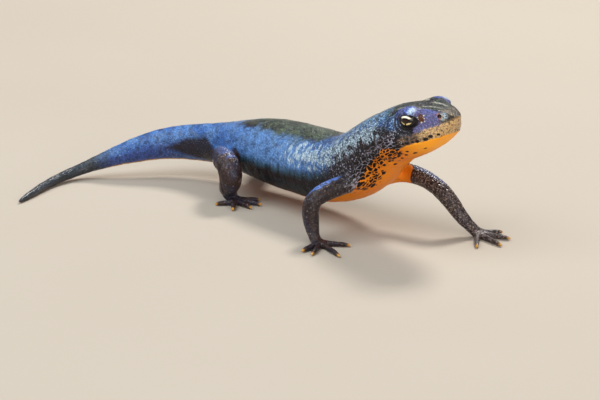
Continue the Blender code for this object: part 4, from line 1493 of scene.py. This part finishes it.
def eye_material():
    """Gold ring with a dark bar across it, broken below the pupil and whitened on top as a painted
    highlight, under a wet coat.
    """
    eye = Finish("newt_eye")
    across = eye.maths("SUBTRACT", "iris_ahead", IRIS_AHEAD)
    above = eye.maths("SUBTRACT", "iris_above", IRIS_ABOVE)
    flecks = eye.mottling(0.10, 3.0, 0.6)

    def oval(length, height):
        x, y = eye.times(across, 1 / length), eye.times(above, 1 / height)
        return eye.maths("SQRT", eye.plus(eye.times(y, y), eye.times(x, x)))

    ring = eye.plus(oval(*IRIS_RING), eye.maths("SUBTRACT", flecks, 0.5), 0.16)
    split = eye.times((eye.maths("ABSOLUTE", across), 0.16, 0.06), (above, 0.02, -0.06))
    bar = eye.ramp(eye.maths("ABSOLUTE", above), 0.20, 0.26)
    unbroken = eye.maths("SUBTRACT", bar, split, clamp=True)
    gold = eye.blend((flecks, 0.35, 0.65), IRIS_GOLD, IRIS_PALE)
    # Painted highlight: the top of the gold ring whitened as if lit from above
    gold = eye.blend((above, 0.15, 0.35, 0.0, 0.8), gold, IRIS_HIGHLIGHT_WHITE)
    eye.colour = eye.blend((oval(*PUPIL_OVAL), 0.65, 1.0), PUPIL, IRIS_DARK)
    eye.paint(gold, (ring, 0.74, 0.84), (ring, 1.26, 1.12), unbroken, ("iris_out", 0.2, 0.5))
    eye.feed(eye.shader, {
        "Base Color": eye.colour,
        "Roughness": 0.35,
        "Specular IOR Level": 0.1,
        "Coat Weight": 0.5,
        "Coat Roughness": 0.02,
        "Coat IOR": 1.5,
    })
    return eye.material


def floor_material():
    floor = Finish("pale_floor")
    tone = floor.blend(floor.mottling(60.0, 3.0, 0.5), FLOOR_PALE, FLOOR_WARM)
    floor.feed(floor.shader, {"Base Color": tone, "Roughness": 0.75})
    return floor.material


def make_floor():
    deselect_all()
    bpy.ops.mesh.primitive_plane_add(size=4.0, location=(0, 0, 0))
    floor = bpy.context.active_object
    floor.name = floor.data.name = "floor"
    floor.data.materials.append(floor_material())


def add_light(name, place, size, power, colour):
    data = bpy.data.lights.new(name, "AREA")
    data.size = size
    data.energy = power
    data.color = colour
    light = bpy.data.objects.new(name, data)
    light.location = place
    direction = Vector(LIGHTS_AIM) - light.location
    light.rotation_euler = direction.to_track_quat("-Z", "Y").to_euler()
    bpy.context.scene.collection.objects.link(light)


def make_camera():
    """The photograph's view: a long lens a little above the floor, ahead and to the right."""
    data = bpy.data.cameras.new("camera")
    data.sensor_width = 36.0
    data.lens = CAMERA_LENS
    data.clip_start = 0.01
    camera = bpy.data.objects.new("camera", data)
    camera.location = (Vector(CAMERA_PLACE) - SHIFT) * MM
    camera.location.z = CAMERA_PLACE[2] * MM
    camera.rotation_euler = [math.radians(a) for a in CAMERA_TURN]
    bpy.context.scene.collection.objects.link(camera)
    bpy.context.scene.camera = camera


def make_lights():
    """A warm key light, a wide pale sky, a warm fill and an even background."""
    turn = math.radians(CAMERA_TURN[2])
    right = Vector((math.cos(turn), math.sin(turn), 0))
    away = Vector((-math.sin(turn), math.cos(turn), 0))
    up = Vector((0, 0, 1))
    for name, (x, y, z), size, power, colour in LIGHTS:
        add_light(name, right * x + away * y + up * z, size, power, colour)
    world = bpy.data.worlds.new("studio")
    world.use_nodes = True
    back = world.node_tree.nodes["Background"]
    back.inputs["Color"].default_value = (*WORLD_COLOUR, 1)
    back.inputs["Strength"].default_value = WORLD_STRENGTH
    bpy.context.scene.world = world


def main():
    skin = make_skin()
    skin.data.materials.append(skin_material())
    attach(skin, "root")
    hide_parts(*[name for name in frame["nodes"] if not name.startswith("eye_")])
    wet = eye_material()
    for side, name in ((1, "eye_left"), (-1, "eye_right")):
        eye = make_eye(side, name.replace("eye", "eyeball"))
        eye.data.materials.append(wet)
        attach(eye, "root")
        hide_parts(name)
    make_floor()
    make_camera()
    make_lights()
    bpy.context.scene.view_settings.view_transform = "Standard"


main()
